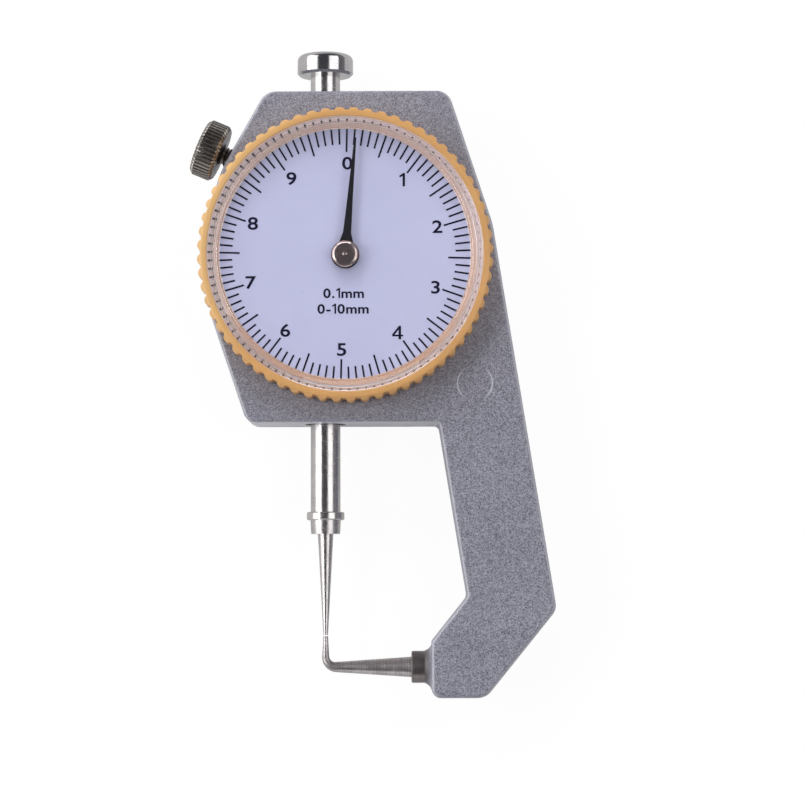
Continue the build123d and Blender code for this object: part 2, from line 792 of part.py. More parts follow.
flank_base = flank_point(base_radius)
flank_pitch = flank_point(pitch_radius)
flank_tip = flank_point(pinion_tip_radius)
pinion_root_radius = pitch_radius - tooth_root
foot_radius = pinion_root_radius - tooth_foot_depth
flank_foot = (foot_radius, flank_base[1] * foot_radius / flank_base[0])

with BuildSketch() as pinion_tooth:
    with BuildLine():
        Line(flank_foot, flank_base)
        ThreePointArc(flank_base, flank_pitch, flank_tip)
        Line(flank_tip, (flank_tip[0], -flank_tip[1]))
        ThreePointArc((flank_tip[0], -flank_tip[1]), (flank_pitch[0], -flank_pitch[1]),
                      (flank_base[0], -flank_base[1]))
        Line((flank_base[0], -flank_base[1]), (flank_foot[0], -flank_foot[1]))
        Line((flank_foot[0], -flank_foot[1]), flank_foot)
    make_face()

with BuildPart() as pinion_arbor:
    with BuildSketch(Plane.XY.offset(bridge_back)):
        Circle(pivot_radius)
    extrude(amount=bridge_thickness + seat_fit)
    with BuildSketch(Plane.XY.offset(bridge_front + seat_fit)):
        Circle(arbor_radius)
    extrude(amount=hub_front - hub_cap - bridge_front - 2 * seat_fit)
    with BuildSketch(Plane.XY.offset(spindle_height - pinion_half_width)):
        Circle(pinion_root_radius)
        with PolarLocations(0, pinion_teeth):
            add(pinion_tooth.sketch)
    extrude(amount=2 * pinion_half_width)
pinion_arbor.part.label = "pinion_arbor"
export_step(pinion_arbor.part, "parts/pinion_arbor.step")

# Hairspring: a flat spiral strip from the collet to the stud
with BuildPart() as hairspring:
    with BuildSketch(Plane.XY.offset(hairspring_back)):
        with BuildLine():
            for half in range(2 * hairspring_turns):
                side = 1 if half % 2 == 0 else -1
                inner = hairspring_start + half * hairspring_turn_width / 2
                CenterArc((-side * hairspring_turn_width / 4, 0), inner + hairspring_turn_width / 4,
                          90 - 90 * side, 180)
        trace(line_width=hairspring_strip)
    extrude(amount=hairspring_height)
hairspring.part.label = "hairspring"
export_step(hairspring.part, "parts/hairspring.step")

# Hairspring collet: a brass ring on the arbor
with BuildPart() as hairspring_collet:
    with BuildSketch(Plane.XY.offset(collet_back)):
        Circle(collet_radius)
        Circle(arbor_radius + seat_fit, mode=Mode.SUBTRACT)
    extrude(amount=collet_height)
hairspring_collet.part.label = "hairspring_collet"
export_step(hairspring_collet.part, "parts/hairspring_collet.step")

# Hairspring stud: a post in the web that holds the strip's outer end
with BuildPart() as hairspring_stud:
    with BuildSketch(Plane.XY.offset(web_front - web_hole_depth + seat_fit)):
        with Locations((stud_offset, 0)):
            Circle(stud_radius)
    extrude(amount=web_hole_depth + stud_height)
hairspring_stud.part.label = "hairspring_stud"
export_step(hairspring_stud.part, "parts/hairspring_stud.step")

# Bezel snap ring: a split wire ring in the case's groove
with BuildPart() as bezel_snap_ring:
    with BuildSketch(Plane.XZ):
        with Locations((groove_inner, snap_height)):
            Circle(snap_wire)
    revolve(axis=Axis.Z, revolution_arc=360 - snap_split)
bezel_snap_ring.part.label = "bezel_snap_ring"
export_step(bezel_snap_ring.part, "parts/bezel_snap_ring.step")

# Bezel: lobed grip ring, floor that carries the dial, and skirt in the case
with BuildPart() as bezel_ring:
    with BuildSketch(Plane.XY.offset(bezel_base)):
        Circle(valley_radius)
        with PolarLocations(lobe_tip_radius - lobe_radius, lobe_count, start_angle=lobe_phase):
            Circle(lobe_radius)
    extrude(amount=rim_front - bezel_base)
    # round off the front of the lobes
    with BuildSketch(Plane.XZ):
        with BuildLine():
            round_reach = lobe_tip_radius - rim_round
            RadiusArc((round_reach, rim_front), (lobe_tip_radius, rim_front - rim_round), rim_round)
            Polyline((lobe_tip_radius, rim_front - rim_round),
                     (lobe_tip_radius + rim_round, rim_front - rim_round),
                     (lobe_tip_radius + rim_round, rim_front + rim_round),
                     (round_reach, rim_front + rim_round), (round_reach, rim_front))
        make_face()
    revolve(axis=Axis.Z, mode=Mode.SUBTRACT)
    with BuildSketch(Plane.XY.offset(dial_back)):
        Circle(bezel_bore_radius)
    extrude(amount=rim_front - dial_back, mode=Mode.SUBTRACT)
    with BuildSketch(Plane.XY.offset(skirt_back)):
        Circle(skirt_radius)
    extrude(amount=dial_back - skirt_back)
    with BuildSketch(Plane.XY.offset(skirt_back)):
        Circle(skirt_inner)
    extrude(amount=dial_back - skirt_back, mode=Mode.SUBTRACT)
    # groove that the snap ring holds
    with BuildSketch(Plane.XY.offset(snap_height - snap_wire - snap_play)):
        Circle(groove_inner + snap_wire + snap_play)
    extrude(amount=2 * (snap_wire + snap_play), mode=Mode.SUBTRACT)
    chamfer(bezel_ring.edges().filter_by(GeomType.CIRCLE).group_by(Axis.Z)[-1].sort_by(SortBy.RADIUS)[0],
            rim_chamfer)
bezel_ring.part.label = "bezel_ring"
export_step(bezel_ring.part, "parts/bezel_ring.step")

# Dial: a thin disc on the bezel's floor
with BuildPart() as dial_face:
    with BuildSketch(Plane.XY.offset(dial_back)):
        Circle(dial_radius)
        Circle(dial_hole_radius, mode=Mode.SUBTRACT)
    extrude(amount=dial_thickness)
dial_face.part.label = "dial_face"
export_step(dial_face.part, "parts/dial_face.step")

# Crystal: a flat window with a bevelled edge and a skirt that stands on the dial
with BuildPart() as crystal:
    with BuildSketch(Plane.XZ):
        with BuildLine():
            Polyline((0, crystal_back), (0, crystal_front),
                     (crystal_radius - crystal_bevel_width, crystal_front),
                     (crystal_radius, crystal_front - crystal_bevel_height),
                     (crystal_radius, dial_front),
                     (crystal_inner_radius, dial_front),
                     (crystal_inner_radius, crystal_back - crystal_inner_bevel_height),
                     (crystal_flat_radius, crystal_back), close=True)
        make_face()
    revolve(axis=Axis.Z)
crystal.part.label = "crystal"
export_step(crystal.part, "parts/crystal.step")

# Hand: a slim tapered blade with a round eye
with BuildPart() as pointer_hand:
    with BuildSketch(Plane.XY.offset(hand_back).rotated((0, 0, -hand_turn))):
        Circle(hub_radius - hub_round)
        with BuildLine():
            Polyline((-hand_root_width / 2, hand_root), (-hand_neck_width / 2, hand_neck),
                     (-hand_waist_width / 2, hand_waist), (-hand_tip_width / 2, hand_length),
                     (hand_tip_width / 2, hand_length), (hand_waist_width / 2, hand_waist),
                     (hand_neck_width / 2, hand_neck), (hand_root_width / 2, hand_root), close=True)
        make_face()
        Circle(hub_bush_radius + seat_fit, mode=Mode.SUBTRACT)
    extrude(amount=hand_thickness)
pointer_hand.part.label = "pointer_hand"
export_step(pointer_hand.part, "parts/pointer_hand.step")

# Hub of the hand: a round cap with a bush that is pressed on the arbor
with BuildPart() as pointer_hub:
    with BuildSketch(Plane.XZ):
        with BuildLine():
            Polyline((0, hub_front), (hub_radius - hub_round, hub_front))
            RadiusArc((hub_radius - hub_round, hub_front), (hub_radius, hub_front - hub_round), hub_round)
            Polyline((hub_radius, hub_front - hub_round), (hub_radius, hub_back),
                     (hub_bush_radius, hub_back),
                     (hub_bush_radius, hand_back - hub_bush_drop),
                     (arbor_radius + seat_fit, hand_back - hub_bush_drop),
                     (arbor_radius + seat_fit, hub_front - hub_cap),
                     (0, hub_front - hub_cap), (0, hub_front))
        make_face()
    revolve(axis=Axis.Z)
pointer_hub.part.label = "pointer_hub"
export_step(pointer_hub.part, "parts/pointer_hub.step")

# Lock screw: knob, threaded shank and a round tip in one turned piece
with BuildPart() as lock_screw:
    with BuildSketch(Plane(lock_plane.origin, x_dir=lock_plane.z_dir, z_dir=(0, 0, 1))):
        with BuildLine():
            Polyline((lock_tip_centre + lock_tip_radius, 0), (-knob_thickness / 2, 0),
                     (-knob_thickness / 2, knob_radius - knob_chamfer),
                     (knob_chamfer - knob_thickness / 2, knob_radius),
                     (knob_thickness / 2 - knob_chamfer, knob_radius),
                     (knob_thickness / 2, knob_radius - knob_chamfer),
                     (knob_thickness / 2, lock_thread_radius), (lock_thread_end, lock_thread_radius),
                     (lock_thread_end, lock_tip_radius), (lock_tip_centre, lock_tip_radius))
            RadiusArc((lock_tip_centre, lock_tip_radius), (lock_tip_centre + lock_tip_radius, 0),
                      lock_tip_radius)
        make_face()
    revolve(axis=Axis(lock_plane.origin, lock_plane.z_dir))
lock_screw.part.label = "lock_screw"
export_step(lock_screw.part, "parts/lock_screw.step")
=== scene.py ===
"""Looks of a dial thickness gauge that lies on its back on a pale table.

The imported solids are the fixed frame: most of them keep their shape and get a better finish, and a
few are replaced by pieces that are modelled here in more detail. Lengths on the gauge are in
millimetres and angles in degrees. The lamps and the table are in metres.
"""

import logging
import math
from collections.abc import Sequence
from dataclasses import dataclass
from enum import Enum
from typing import ClassVar

import bmesh
import bpy
from mathutils import Matrix, Vector


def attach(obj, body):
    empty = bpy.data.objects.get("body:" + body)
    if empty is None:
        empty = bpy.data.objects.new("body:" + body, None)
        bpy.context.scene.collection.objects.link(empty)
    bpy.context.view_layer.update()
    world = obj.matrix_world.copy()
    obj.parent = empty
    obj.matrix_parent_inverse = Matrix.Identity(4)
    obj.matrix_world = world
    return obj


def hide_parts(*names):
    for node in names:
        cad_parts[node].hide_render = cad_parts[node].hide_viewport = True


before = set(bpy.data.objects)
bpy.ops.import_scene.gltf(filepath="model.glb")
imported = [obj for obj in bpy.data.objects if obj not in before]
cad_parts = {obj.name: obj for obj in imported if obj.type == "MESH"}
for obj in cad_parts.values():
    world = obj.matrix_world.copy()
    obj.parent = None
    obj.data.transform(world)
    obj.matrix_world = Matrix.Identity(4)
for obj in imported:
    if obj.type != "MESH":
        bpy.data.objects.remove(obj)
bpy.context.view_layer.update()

log = logging.getLogger("gauge")

MM = 0.001
SRGB_KNEE = 0.04045
SRGB_SLOPE = 12.92
SRGB_OFFSET = 0.055
SRGB_POWER = 2.4
TURNING_WELD = 1e-5

# A Mix node has sockets of the same names for numbers, vectors and colours. These are the colours'.
MIX_SHARE = 0
MIX_FIRST = 6
MIX_SECOND = 7
MIX_RESULT = 2

Point = tuple[float, float]
Place = tuple[float, float, float]
Colour = tuple[float, float, float, float]
Socket = bpy.types.NodeSocket
Tree = bpy.types.NodeTree
Material = bpy.types.Material
Outputs = bpy.types.NodeOutputs
Value = float | Sequence[float] | Socket
Inputs = dict[str | int, Value]


def tint(red: int, green: int, blue: int) -> Colour:
    """Turn a colour as it shows on a screen into the linear colour that shaders take.

    Args:
        red: red part, 0 to 255.
        green: green part, 0 to 255.
        blue: blue part, 0 to 255.

    Returns:
        The linear red, green, blue and an alpha of one.
    """
    parts = []
    for part in (red, green, blue):
        share = part / 255
        if share <= SRGB_KNEE:
            parts.append(share / SRGB_SLOPE)
        else:
            parts.append(((share + SRGB_OFFSET) / (1 + SRGB_OFFSET)) ** SRGB_POWER)
    return (*parts, 1.0)


class Axis(Enum):
    """Direction that a turned piece's own axis takes in the gauge."""

    OUT_OF_DIAL = "out of dial"
    ALONG_SPINDLE = "along spindle"
    ALONG_ANVIL = "along anvil"
    ALONG_LOCK = "along lock"


@dataclass(frozen=True)
class Layout:
    """Places that several pieces share, from the gauge's construction."""

    spindle_x: float = -3.2016
    spindle_z: float = 6.0
    anvil_y: float = -60.1
    lock_place: Place = (-20.04, 16.24, 9.6)
    lock_slope: float = -23.0
    dial_front: float = 13.5
    crystal_back: float = 16.3

    def placing(self, axis: Axis) -> Matrix:
        """Give the matrix that stands a piece turned round Z on one of the gauge's axes.

        Args:
            axis: the axis that the piece's own Z is laid on.

        Returns:
            A matrix for lengths in millimetres.
        """
        if axis is Axis.ALONG_SPINDLE:
            place, turns = (self.spindle_x, 0, self.spindle_z), ((-90, "X"),)
        elif axis is Axis.ALONG_ANVIL:
            place, turns = (0, self.anvil_y, self.spindle_z), ((90, "Y"),)
        elif axis is Axis.ALONG_LOCK:
            place, turns = self.lock_place, ((self.lock_slope, "Z"), (90, "Y"))
        else:
            return Matrix.Identity(4)
        placing = Matrix.Translation(place)
        for angle, about in turns:
            placing = placing @ Matrix.Rotation(math.radians(angle), 4, about)
        return placing


LAYOUT = Layout()


class Bench:
    """Adds nodes to one node tree and joins them."""

    def __init__(self, tree: Tree) -> None:
        """Keep the tree that the nodes go into."""
        self.tree = tree

    @classmethod
    def on(cls, holder: Material | bpy.types.World) -> "Bench":
        """Empty the node tree of a material or a world.

        Args:
            holder: the material or world.

        Returns:
            A bench on its node tree.
        """
        holder.use_nodes = True
        holder.node_tree.nodes.clear()
        return cls(holder.node_tree)

    def node(self, kind: str, inputs: Inputs | None = None, **settings: object) -> Outputs:
        """Add a node.

        Args:
            kind: the node's type name.
            inputs: plain values and outputs of other nodes, by the name or number of the input.
            settings: properties of the node, by name.

        Returns:
            The node's outputs.
        """
        made = self.tree.nodes.new(kind)
        for name, setting in settings.items():
            setattr(made, name, setting)
        for name, value in (inputs or {}).items():
            if isinstance(value, Socket):
                self.tree.links.new(value, made.inputs[name])
            else:
                made.inputs[name].default_value = value
        return made.outputs

    def maths(self, operation: str, *values: Value, clamp: bool = False) -> Socket:
        """Work out a number from one or two others, held between 0 and 1 if clamp says so."""
        inputs = dict(enumerate(values))
        return self.node("ShaderNodeMath", inputs, operation=operation, use_clamp=clamp)[0]

    def plus(self, first: Value, second: Value, clamp: bool = False) -> Socket:
        """Add two values."""
        return self.maths("ADD", first, second, clamp=clamp)

    def less(self, first: Value, second: Value) -> Socket:
        """Take the second value from the first."""
        return self.maths("SUBTRACT", first, second)

    def times(self, first: Value, second: Value) -> Socket:
        """Multiply two values."""
        return self.maths("MULTIPLY", first, second)

    def unsigned(self, value: Value) -> Socket:
        """Give a value without its sign."""
        return self.maths("ABSOLUTE", value)

    def weigh(self, first: Socket, second: Socket, share: float) -> Socket:
        """Add two values, the first with a share and the second with the rest."""
        return self.plus(self.times(first, share), self.times(second, 1 - share))

    def reach(self, first: Socket, second: Socket) -> Socket:
        """Give the length of the diagonal over two lengths."""
        return self.maths("SQRT", self.plus(self.times(first, first), self.times(second, second)))

    def span(
        self, value: Value, low: float, high: float, to_low: Value = 0.0, to_high: Value = 1.0
    ) -> Socket:
        """Map a value from one range to another, and hold it inside the second."""
        ends = {"From Min": low, "From Max": high, "To Min": to_low, "To Max": to_high}
        return self.node("ShaderNodeMapRange", {"Value": value, **ends})["Result"]

    def fade(self, value: Value, start: float, end: float) -> Socket:
        """Give a mask that falls from 1 to 0 as a value goes from start to end."""
        return self.span(value, start, end, 1.0, 0.0)

    def blend(self, share: Value, first: Value, second: Value) -> Socket:
        """Mix two colours, with a share of the second."""
        inputs = {MIX_SHARE: share, MIX_FIRST: first, MIX_SECOND: second}
        return self.node("ShaderNodeMix", inputs, data_type="RGBA")[MIX_RESULT]

    def choose(self, share: Socket, first: Socket, second: Socket) -> Socket:
        """Mix two shaders, with a share of the second."""
        return self.node("ShaderNodeMixShader", {0: share, 1: first, 2: second})["Shader"]

    def noise(self, vector: Socket, size: Socket, **look: float) -> Socket:
        """Give noise in patches of a size, with other inputs of the Noise Texture by name."""
        inputs = {"Vector": vector, "Scale": self.maths("DIVIDE", 1.0, size), **look}
        return self.node("ShaderNodeTexNoise", inputs)["Fac"]

    def relief(self, height: Socket, depth: float) -> Socket:
        """Give the normal that a height from 0 to 1 bends, over a depth in millimetres."""
        inputs = {"Strength": 1.0, "Distance": depth * MM, "Height": height}
        return self.node("ShaderNodeBump", inputs)["Normal"]

    def parts(self, vector: Socket) -> Sequence[Socket]:
        """Split a vector into X, Y and Z."""
        return tuple(self.node("ShaderNodeSeparateXYZ", {0: vector}))

    def facing(self) -> Socket:
        """Give the way that the surface faces on the piece."""
        return self.node("ShaderNodeTexCoord")["Normal"]

    def place(self, placing: Matrix | None = None) -> Socket:
        """Give Object coordinates in millimetres, laid on an axis of the gauge.

        Args:
            placing: the matrix that stands a piece on its axis, or None for the gauge's own frame.

        Returns:
            The coordinates.
        """
        place = self.node("ShaderNodeTexCoord")["Object"]
        inputs = {"Vector": place, "Scale": (1 / MM, 1 / MM, 1 / MM)}
        place = self.node("ShaderNodeMapping", inputs, vector_type="POINT")["Vector"]
        if placing is None:
            return place
        laid = {"Location": placing.to_translation(), "Rotation": placing.to_euler("XYZ")}
        inputs = {"Vector": place, **laid}
        return self.node("ShaderNodeMapping", inputs, vector_type="TEXTURE")["Vector"]

    def principled(self, **inputs: Value) -> Socket:
        """Give the Principled shader, with its inputs by name and _ for a space."""
        inputs = {name.replace("_", " "): value for name, value in inputs.items()}
        return self.node("ShaderNodeBsdfPrincipled", inputs)["BSDF"]

    def show(self, shader: Socket, output: str = "ShaderNodeOutputMaterial") -> None:
        """Join a shader to a new output node of the material or the world."""
        self.node(output, {"Surface": shader})


class Effects:
    """The shader node groups that more than one finish uses. A pair gives the ends of a change."""

    noise_ends: ClassVar[Point] = (0.3, 0.7)
    spot_radii: ClassVar[Point] = (0.15, 0.4)
    edge_sides: ClassVar[Point] = (0.1, 0.4)
    edge_outer: ClassVar[Point] = (0.4, 0.6)
    edge_inner: ClassVar[Point] = (0.84, 0.94)

    def __init__(self) -> None:
        """Build each group once."""
        self.grain = self._grain()
        self.cloud = self._cloud()
        self.tool_marks = self._tool_marks()
        self.spots = self._spots()
        self.edge = self._edge()

    @staticmethod
    def _group(name: str, inputs: Sequence[str], outputs: Sequence[str]) -> tuple[Bench, Outputs]:
        """Start a group whose first input is a vector and whose other sockets are numbers.

        Args:
            name: the group's name.
            inputs: names of its inputs.
            outputs: names of its outputs.

        Returns:
            A bench on the group, and what the group is given.
        """
        tree = bpy.data.node_groups.new(name, "ShaderNodeTree")
        for label in inputs:
            kind = "NodeSocketVector" if label == inputs[0] else "NodeSocketFloat"
            tree.interface.new_socket(label, in_out="INPUT", socket_type=kind)
        for label in outputs:
            tree.interface.new_socket(label, in_out="OUTPUT", socket_type="NodeSocketFloat")
        bench = Bench(tree)
        return bench, bench.node("NodeGroupInput")

    def _grain(self) -> Tree:
        """Build fine speckle, as of hammer paint or a blasted casting.

        Returns:
            The group.
        """
        bench, given = self._group("fine_grain", ("Vector", "Size"), ("Mask", "Height"))
        noise = bench.noise(given["Vector"], given["Size"], Detail=2.0, Roughness=0.55)
        mask = bench.span(noise, *self.noise_ends)
        bench.node("NodeGroupOutput", {"Mask": mask, "Height": noise})
        return bench.tree

    def _cloud(self) -> Tree:
        """Build soft large patches, as of handling or uneven polish.

        Returns:
            The group.
        """
        bench, given = self._group("soft_cloud", ("Vector", "Size", "Low", "High"), ("Value",))
        look = {"Detail": 4.0, "Roughness": 0.6, "Distortion": 0.4}
        noise = bench.noise(given["Vector"], given["Size"], **look)
        value = bench.span(noise, *self.noise_ends, given["Low"], given["High"])
        bench.node("NodeGroupOutput", {"Value": value})
        return bench.tree

    def _tool_marks(self) -> Tree:
        """Build the fine rings that a lathe leaves round an axis laid on Z.

        Returns:
            The group.
        """
        bench, given = self._group("tool_marks", ("Vector", "Pitch"), ("Height",))
        x, y, z = bench.parts(given["Vector"])
        along = bench.maths("DIVIDE", bench.plus(bench.reach(x, y), z), given["Pitch"])
        inputs = {"W": along, "Scale": 1.0, "Detail": 3.0, "Roughness": 0.7}
        noise = bench.node("ShaderNodeTexNoise", inputs, noise_dimensions="1D")
        bench.node("NodeGroupOutput", {"Height": noise["Fac"]})
        return bench.tree

    def _spots(self) -> Tree:
        """Build small scattered spots, as of dust, pits or bright flecks.

        Returns:
            The group.
        """
        bench, given = self._group("small_spots", ("Vector", "Size", "Share"), ("Mask",))
        inputs = {"Vector": given["Vector"], "Scale": bench.maths("DIVIDE", 1.0, given["Size"])}
        cells = bench.node("ShaderNodeTexVoronoi", inputs, feature="F1")
        chance = bench.node("ShaderNodeSeparateColor", {0: cells["Color"]})[0]
        picked = bench.maths("LESS_THAN", chance, given["Share"])
        middle = bench.fade(cells["Distance"], *self.spot_radii)
        bench.node("NodeGroupOutput", {"Mask": bench.times(picked, middle)})
        return bench.tree

    def _edge(self) -> Tree:
        """Build a mask for a flat plate's rounded edges that face left or right, from the way that
        its surface faces, which takes a painted highlight.

        Returns:
            The group.
        """
        bench, given = self._group("edge_highlight_mask", ("Facing",), ("Mask",))
        across, _, out = bench.parts(given["Facing"])
        rounded = bench.times(bench.span(out, *self.edge_outer), bench.fade(out, *self.edge_inner))
        sides = bench.span(bench.unsigned(across), *self.edge_sides)
        bench.node("NodeGroupOutput", {"Mask": bench.times(rounded, sides)})
        return bench.tree

    def speckle(self, bench: Bench, place: Socket, size: float) -> Outputs:
        """Place the fine grain in a material."""
        inputs = {"Vector": place, "Size": size}
        return bench.node("ShaderNodeGroup", inputs, node_tree=self.grain)

    def clouds(self, bench: Bench, place: Socket, size: float, ends: Point = (0.0, 1.0)) -> Socket:
        """Place the soft patches in a material, as a value between two ends."""
        inputs = {"Vector": place, "Size": size, "Low": ends[0], "High": ends[1]}
        return bench.node("ShaderNodeGroup", inputs, node_tree=self.cloud)["Value"]

    def rings(self, bench: Bench, place: Socket, pitch: float) -> Socket:
        """Place the rings of the lathe in a material."""
        inputs = {"Vector": place, "Pitch": pitch}
        return bench.node("ShaderNodeGroup", inputs, node_tree=self.tool_marks)["Height"]

    def dots(self, bench: Bench, place: Socket, size: float, share: float) -> Socket:
        """Place the small spots in a material, on a share of their cells."""
        inputs = {"Vector": place, "Size": size, "Share": share}
        return bench.node("ShaderNodeGroup", inputs, node_tree=self.spots)["Mask"]

    # wear here is a painted highlight on the rounded edges that face left or right
    def wear(self, bench: Bench, facing: Socket) -> Socket:
        """Place the mask of the rounded edges in a material, for their painted highlight."""
        return bench.node("ShaderNodeGroup", {"Facing": facing}, node_tree=self.edge)["Mask"]


@dataclass(frozen=True)
class Finish:
    """A procedural material for one of the gauge's surfaces."""

    name: str

    def material(self, effects: Effects) -> Material:
        """Build the material.

        Args:
            effects: the shared node groups.

        Returns:
            The new material.
        """
        made = bpy.data.materials.new(self.name)
        self.dress(Bench.on(made), effects)
        return made

    def dress(self, bench: Bench, effects: Effects) -> None:
        """Add the finish's nodes. Each kind of finish has its own."""
        raise NotImplementedError


@dataclass(frozen=True)
class HammerPaint(Finish):
    """Grey paint with a fine bright speckle, on a casting.

    A pair gives the ends of a change, or X and Y. The ends of the mark's sides are shares of its
    radius.
    """

    dark: Colour = tint(83, 83, 93)
    light: Colour = tint(175, 175, 189)
    grain_size: float = 0.175
    grain_depth: float = 0.03
    patch_size: float = 7.0
    patch_change: Point = (-0.06, 0.06)
    gloss: Point = (0.3, 0.42)
    gloss_size: float = 3.0
    # pale colour of the real flecks, which the painted light and highlights below also use
    fleck: Colour = tint(208, 208, 217)
    fleck_size: float = 0.26
    fleck_share: float = 0.12
    fleck_light: float = 0.5
    # painted light: the paint is lighter in a ring round the bezel, where the bezel shades the case
    halo_radii: Point = (22.5, 28.0)
    halo_light: float = 0.06
    mark_place: Point = (18.88, -18.63)
    mark_radius: float = 2.55
    mark_width: float = 0.16
    mark_sides: Point = (0.5, 0.85)
    mark_heights: Point = (11.5, 11.8)
    # painted highlight: the real round mark is lightened on its left and right arcs, where light
    # catches it
    mark_light: float = 0.95
    mark_rise: float = 0.8
    # darker, browner paint on the boss next to the anvil's collar
    stain: Colour = tint(84, 76, 74)
    stain_radii: Point = (2.5, 3.2)
    stain_ends: Point = (12.1, 12.5)
    stain_cover: float = 0.8
    # painted highlight on the rounded front edges that face left or right
    edge_heights: Point = (11.2, 11.4)
    edge_light: float = 0.5
    # painted reflection: faces that look towards the foot are lightened, as the white table shows in
    # them at a low angle
    sill_facing: Point = (-0.95, -0.8)
    sill_light: float = 0.95

    def mark(self, bench: Bench, x: Socket, y: Socket, z: Socket) -> Socket:
        """Mask the faint round mark low on the arm, on its left and right arcs only.

        Args:
            bench: the material's bench.
            x: X in millimetres.
            y: Y in millimetres.
            z: Z in millimetres.

        Returns:
            The mask.
        """
        across = bench.less(x, self.mark_place[0])
        up = bench.less(y, self.mark_place[1])
        off = bench.unsigned(bench.less(bench.reach(across, up), self.mark_radius))
        ring = bench.fade(off, 0.0, self.mark_width)
        starts, ends = (self.mark_radius * share for share in self.mark_sides)
        sides = bench.span(bench.unsigned(across), starts, ends)
        return bench.times(bench.times(ring, sides), bench.span(z, *self.mark_heights))

    def boss_stain(self, bench: Bench, x: Socket, y: Socket, z: Socket) -> Socket:
        """Mask the boss next to the anvil's collar, where the paint is made darker and browner.

        Args:
            bench: the material's bench.
            x: X in millimetres.
            y: Y in millimetres.
            z: Z in millimetres.

        Returns:
            The mask.
        """
        away = bench.reach(bench.less(y, LAYOUT.anvil_y), bench.less(z, LAYOUT.spindle_z))
        return bench.times(bench.fade(away, *self.stain_radii), bench.fade(x, *self.stain_ends))

    def dress(self, bench: Bench, effects: Effects) -> None:
        """Add the speckle and patches, and lay over them the flecks, the painted light round the
        bezel, the mark with its painted highlight, the darker boss, the painted highlight on the
        rounded front edges and the painted reflection on the faces towards the foot.

        Args:
            bench: the material's bench.
            effects: the shared node groups.
        """
        place = bench.place()
        x, y, z = bench.parts(place)
        facing = bench.facing()
        grain = effects.speckle(bench, place, self.grain_size)
        patches = effects.clouds(bench, place, self.patch_size, self.patch_change)
        shade = bench.plus(grain["Mask"], patches, clamp=True)
        flecks = effects.dots(bench, place, self.fleck_size, self.fleck_share)
        # painted light: lighter paint in a ring round the bezel
        painted_halo = bench.span(bench.reach(x, y), *self.halo_radii, self.halo_light, 0.0)
        mark = self.mark(bench, x, y, z)
        stain = self.boss_stain(bench, x, y, z)
        # painted highlight on the rounded front edges
        edge = effects.wear(bench, facing)
        front = bench.span(z, *self.edge_heights, 0.0, self.edge_light)
        # painted reflection on the faces towards the foot
        painted_sill_glare = bench.span(bench.parts(facing)[1], *self.sill_facing, self.sill_light, 0.0)
        layers = (
            (bench.times(flecks, self.fleck_light), self.fleck),
            (painted_halo, self.fleck),
            (bench.times(mark, self.mark_light), self.fleck),
            (bench.times(stain, self.stain_cover), self.stain),
            (bench.times(edge, front), self.fleck),
            (painted_sill_glare, self.fleck),
        )
        colour = bench.blend(shade, self.dark, self.light)
        for cover, over in layers:
            colour = bench.blend(cover, colour, over)
        height = bench.plus(grain["Height"], bench.times(mark, self.mark_rise))
        shader = bench.principled(
            Base_Color=colour,
            Roughness=effects.clouds(bench, place, self.gloss_size, self.gloss),
            Normal=bench.relief(height, self.grain_depth),
        )
        bench.show(shader)


@dataclass(frozen=True)
class Enamel(Finish):
    """Moulded or painted surface of one colour with soft variation."""

    colour: Colour
    worn: Colour
    gloss: Point
    grain_size: float = 0.2
    grain_depth: float = 0.004
    patch_size: float = 6.0
    patch_share: float = 0.7
    gloss_share: float = 1 / 3
    sheen: float = 0.5

    def dress(self, bench: Bench, effects: Effects) -> None:
        """Add the soft colour change, the gloss change and a faint skin.

        Args:
            bench: the material's bench.
            effects: the shared node groups.
        """
        place = bench.place()
        patches = effects.clouds(bench, place, self.patch_size)
        grain = effects.speckle(bench, place, self.grain_size)
        shade = bench.weigh(patches, grain["Mask"], self.patch_share)
        gloss_size = self.patch_size * self.gloss_share
        shader = bench.principled(
            Base_Color=self.tone(bench, place, bench.blend(shade, self.colour, self.worn)),
            Roughness=effects.clouds(bench, place, gloss_size, self.gloss),
            Specular_IOR_Level=self.sheen,
            Normal=bench.relief(grain["Height"], self.grain_depth),
        )
        bench.show(shader)

    def tone(self, bench: Bench, place: Socket, colour: Socket) -> Socket:
        """Give the colour by place, which is the same all over here."""
        return colour


@dataclass(frozen=True)
class BezelEnamel(Enamel):
    """The bezel's satin enamel, pale in the bore behind the window's edge as painted light and
    darker towards the bottom there as painted shade.
    """

    # painted light: the side away from the arm is a little lighter and yellower, towards the left
    # lamps
    faded: Colour = tint(223, 179, 119)
    faded_way: Point = (-0.97, 0.26)
    faded_reach: Point = (9.0, 20.0)
    # painted light: the bore behind the window's edge is pale, and painted shade makes it darker
    # towards the bottom
    bore: Colour = tint(250, 218, 200)
    bore_low: Colour = tint(203, 162, 134)
    bore_fall: Point = (-18.0, 8.0)
    bore_radii: Point = (20.12, 20.3)
    bore_heights: Point = (16.4, 16.55)

    def tone(self, bench: Bench, place: Socket, colour: Socket) -> Socket:
        """Paint the bore pale and darker towards the bottom as painted light and shade, and the side
        away from the arm a little lighter and yellower as painted light.

        Args:
            bench: the material's bench.
            place: coordinates in millimetres.
            colour: the colour elsewhere.

        Returns:
            The colour by place.
        """
        x, y, z = bench.parts(place)
        # painted light on the side away from the arm
        side = bench.plus(bench.times(x, self.faded_way[0]), bench.times(y, self.faded_way[1]))
        colour = bench.blend(bench.span(side, *self.faded_reach), colour, self.faded)
        inside = bench.fade(bench.reach(x, y), *self.bore_radii)
        behind = bench.fade(z, *self.bore_heights)
        # painted light and shade in the bore
        pale = bench.blend(bench.span(y, *self.bore_fall), self.bore_low, self.bore)
        return bench.blend(bench.times(inside, behind), colour, pale)


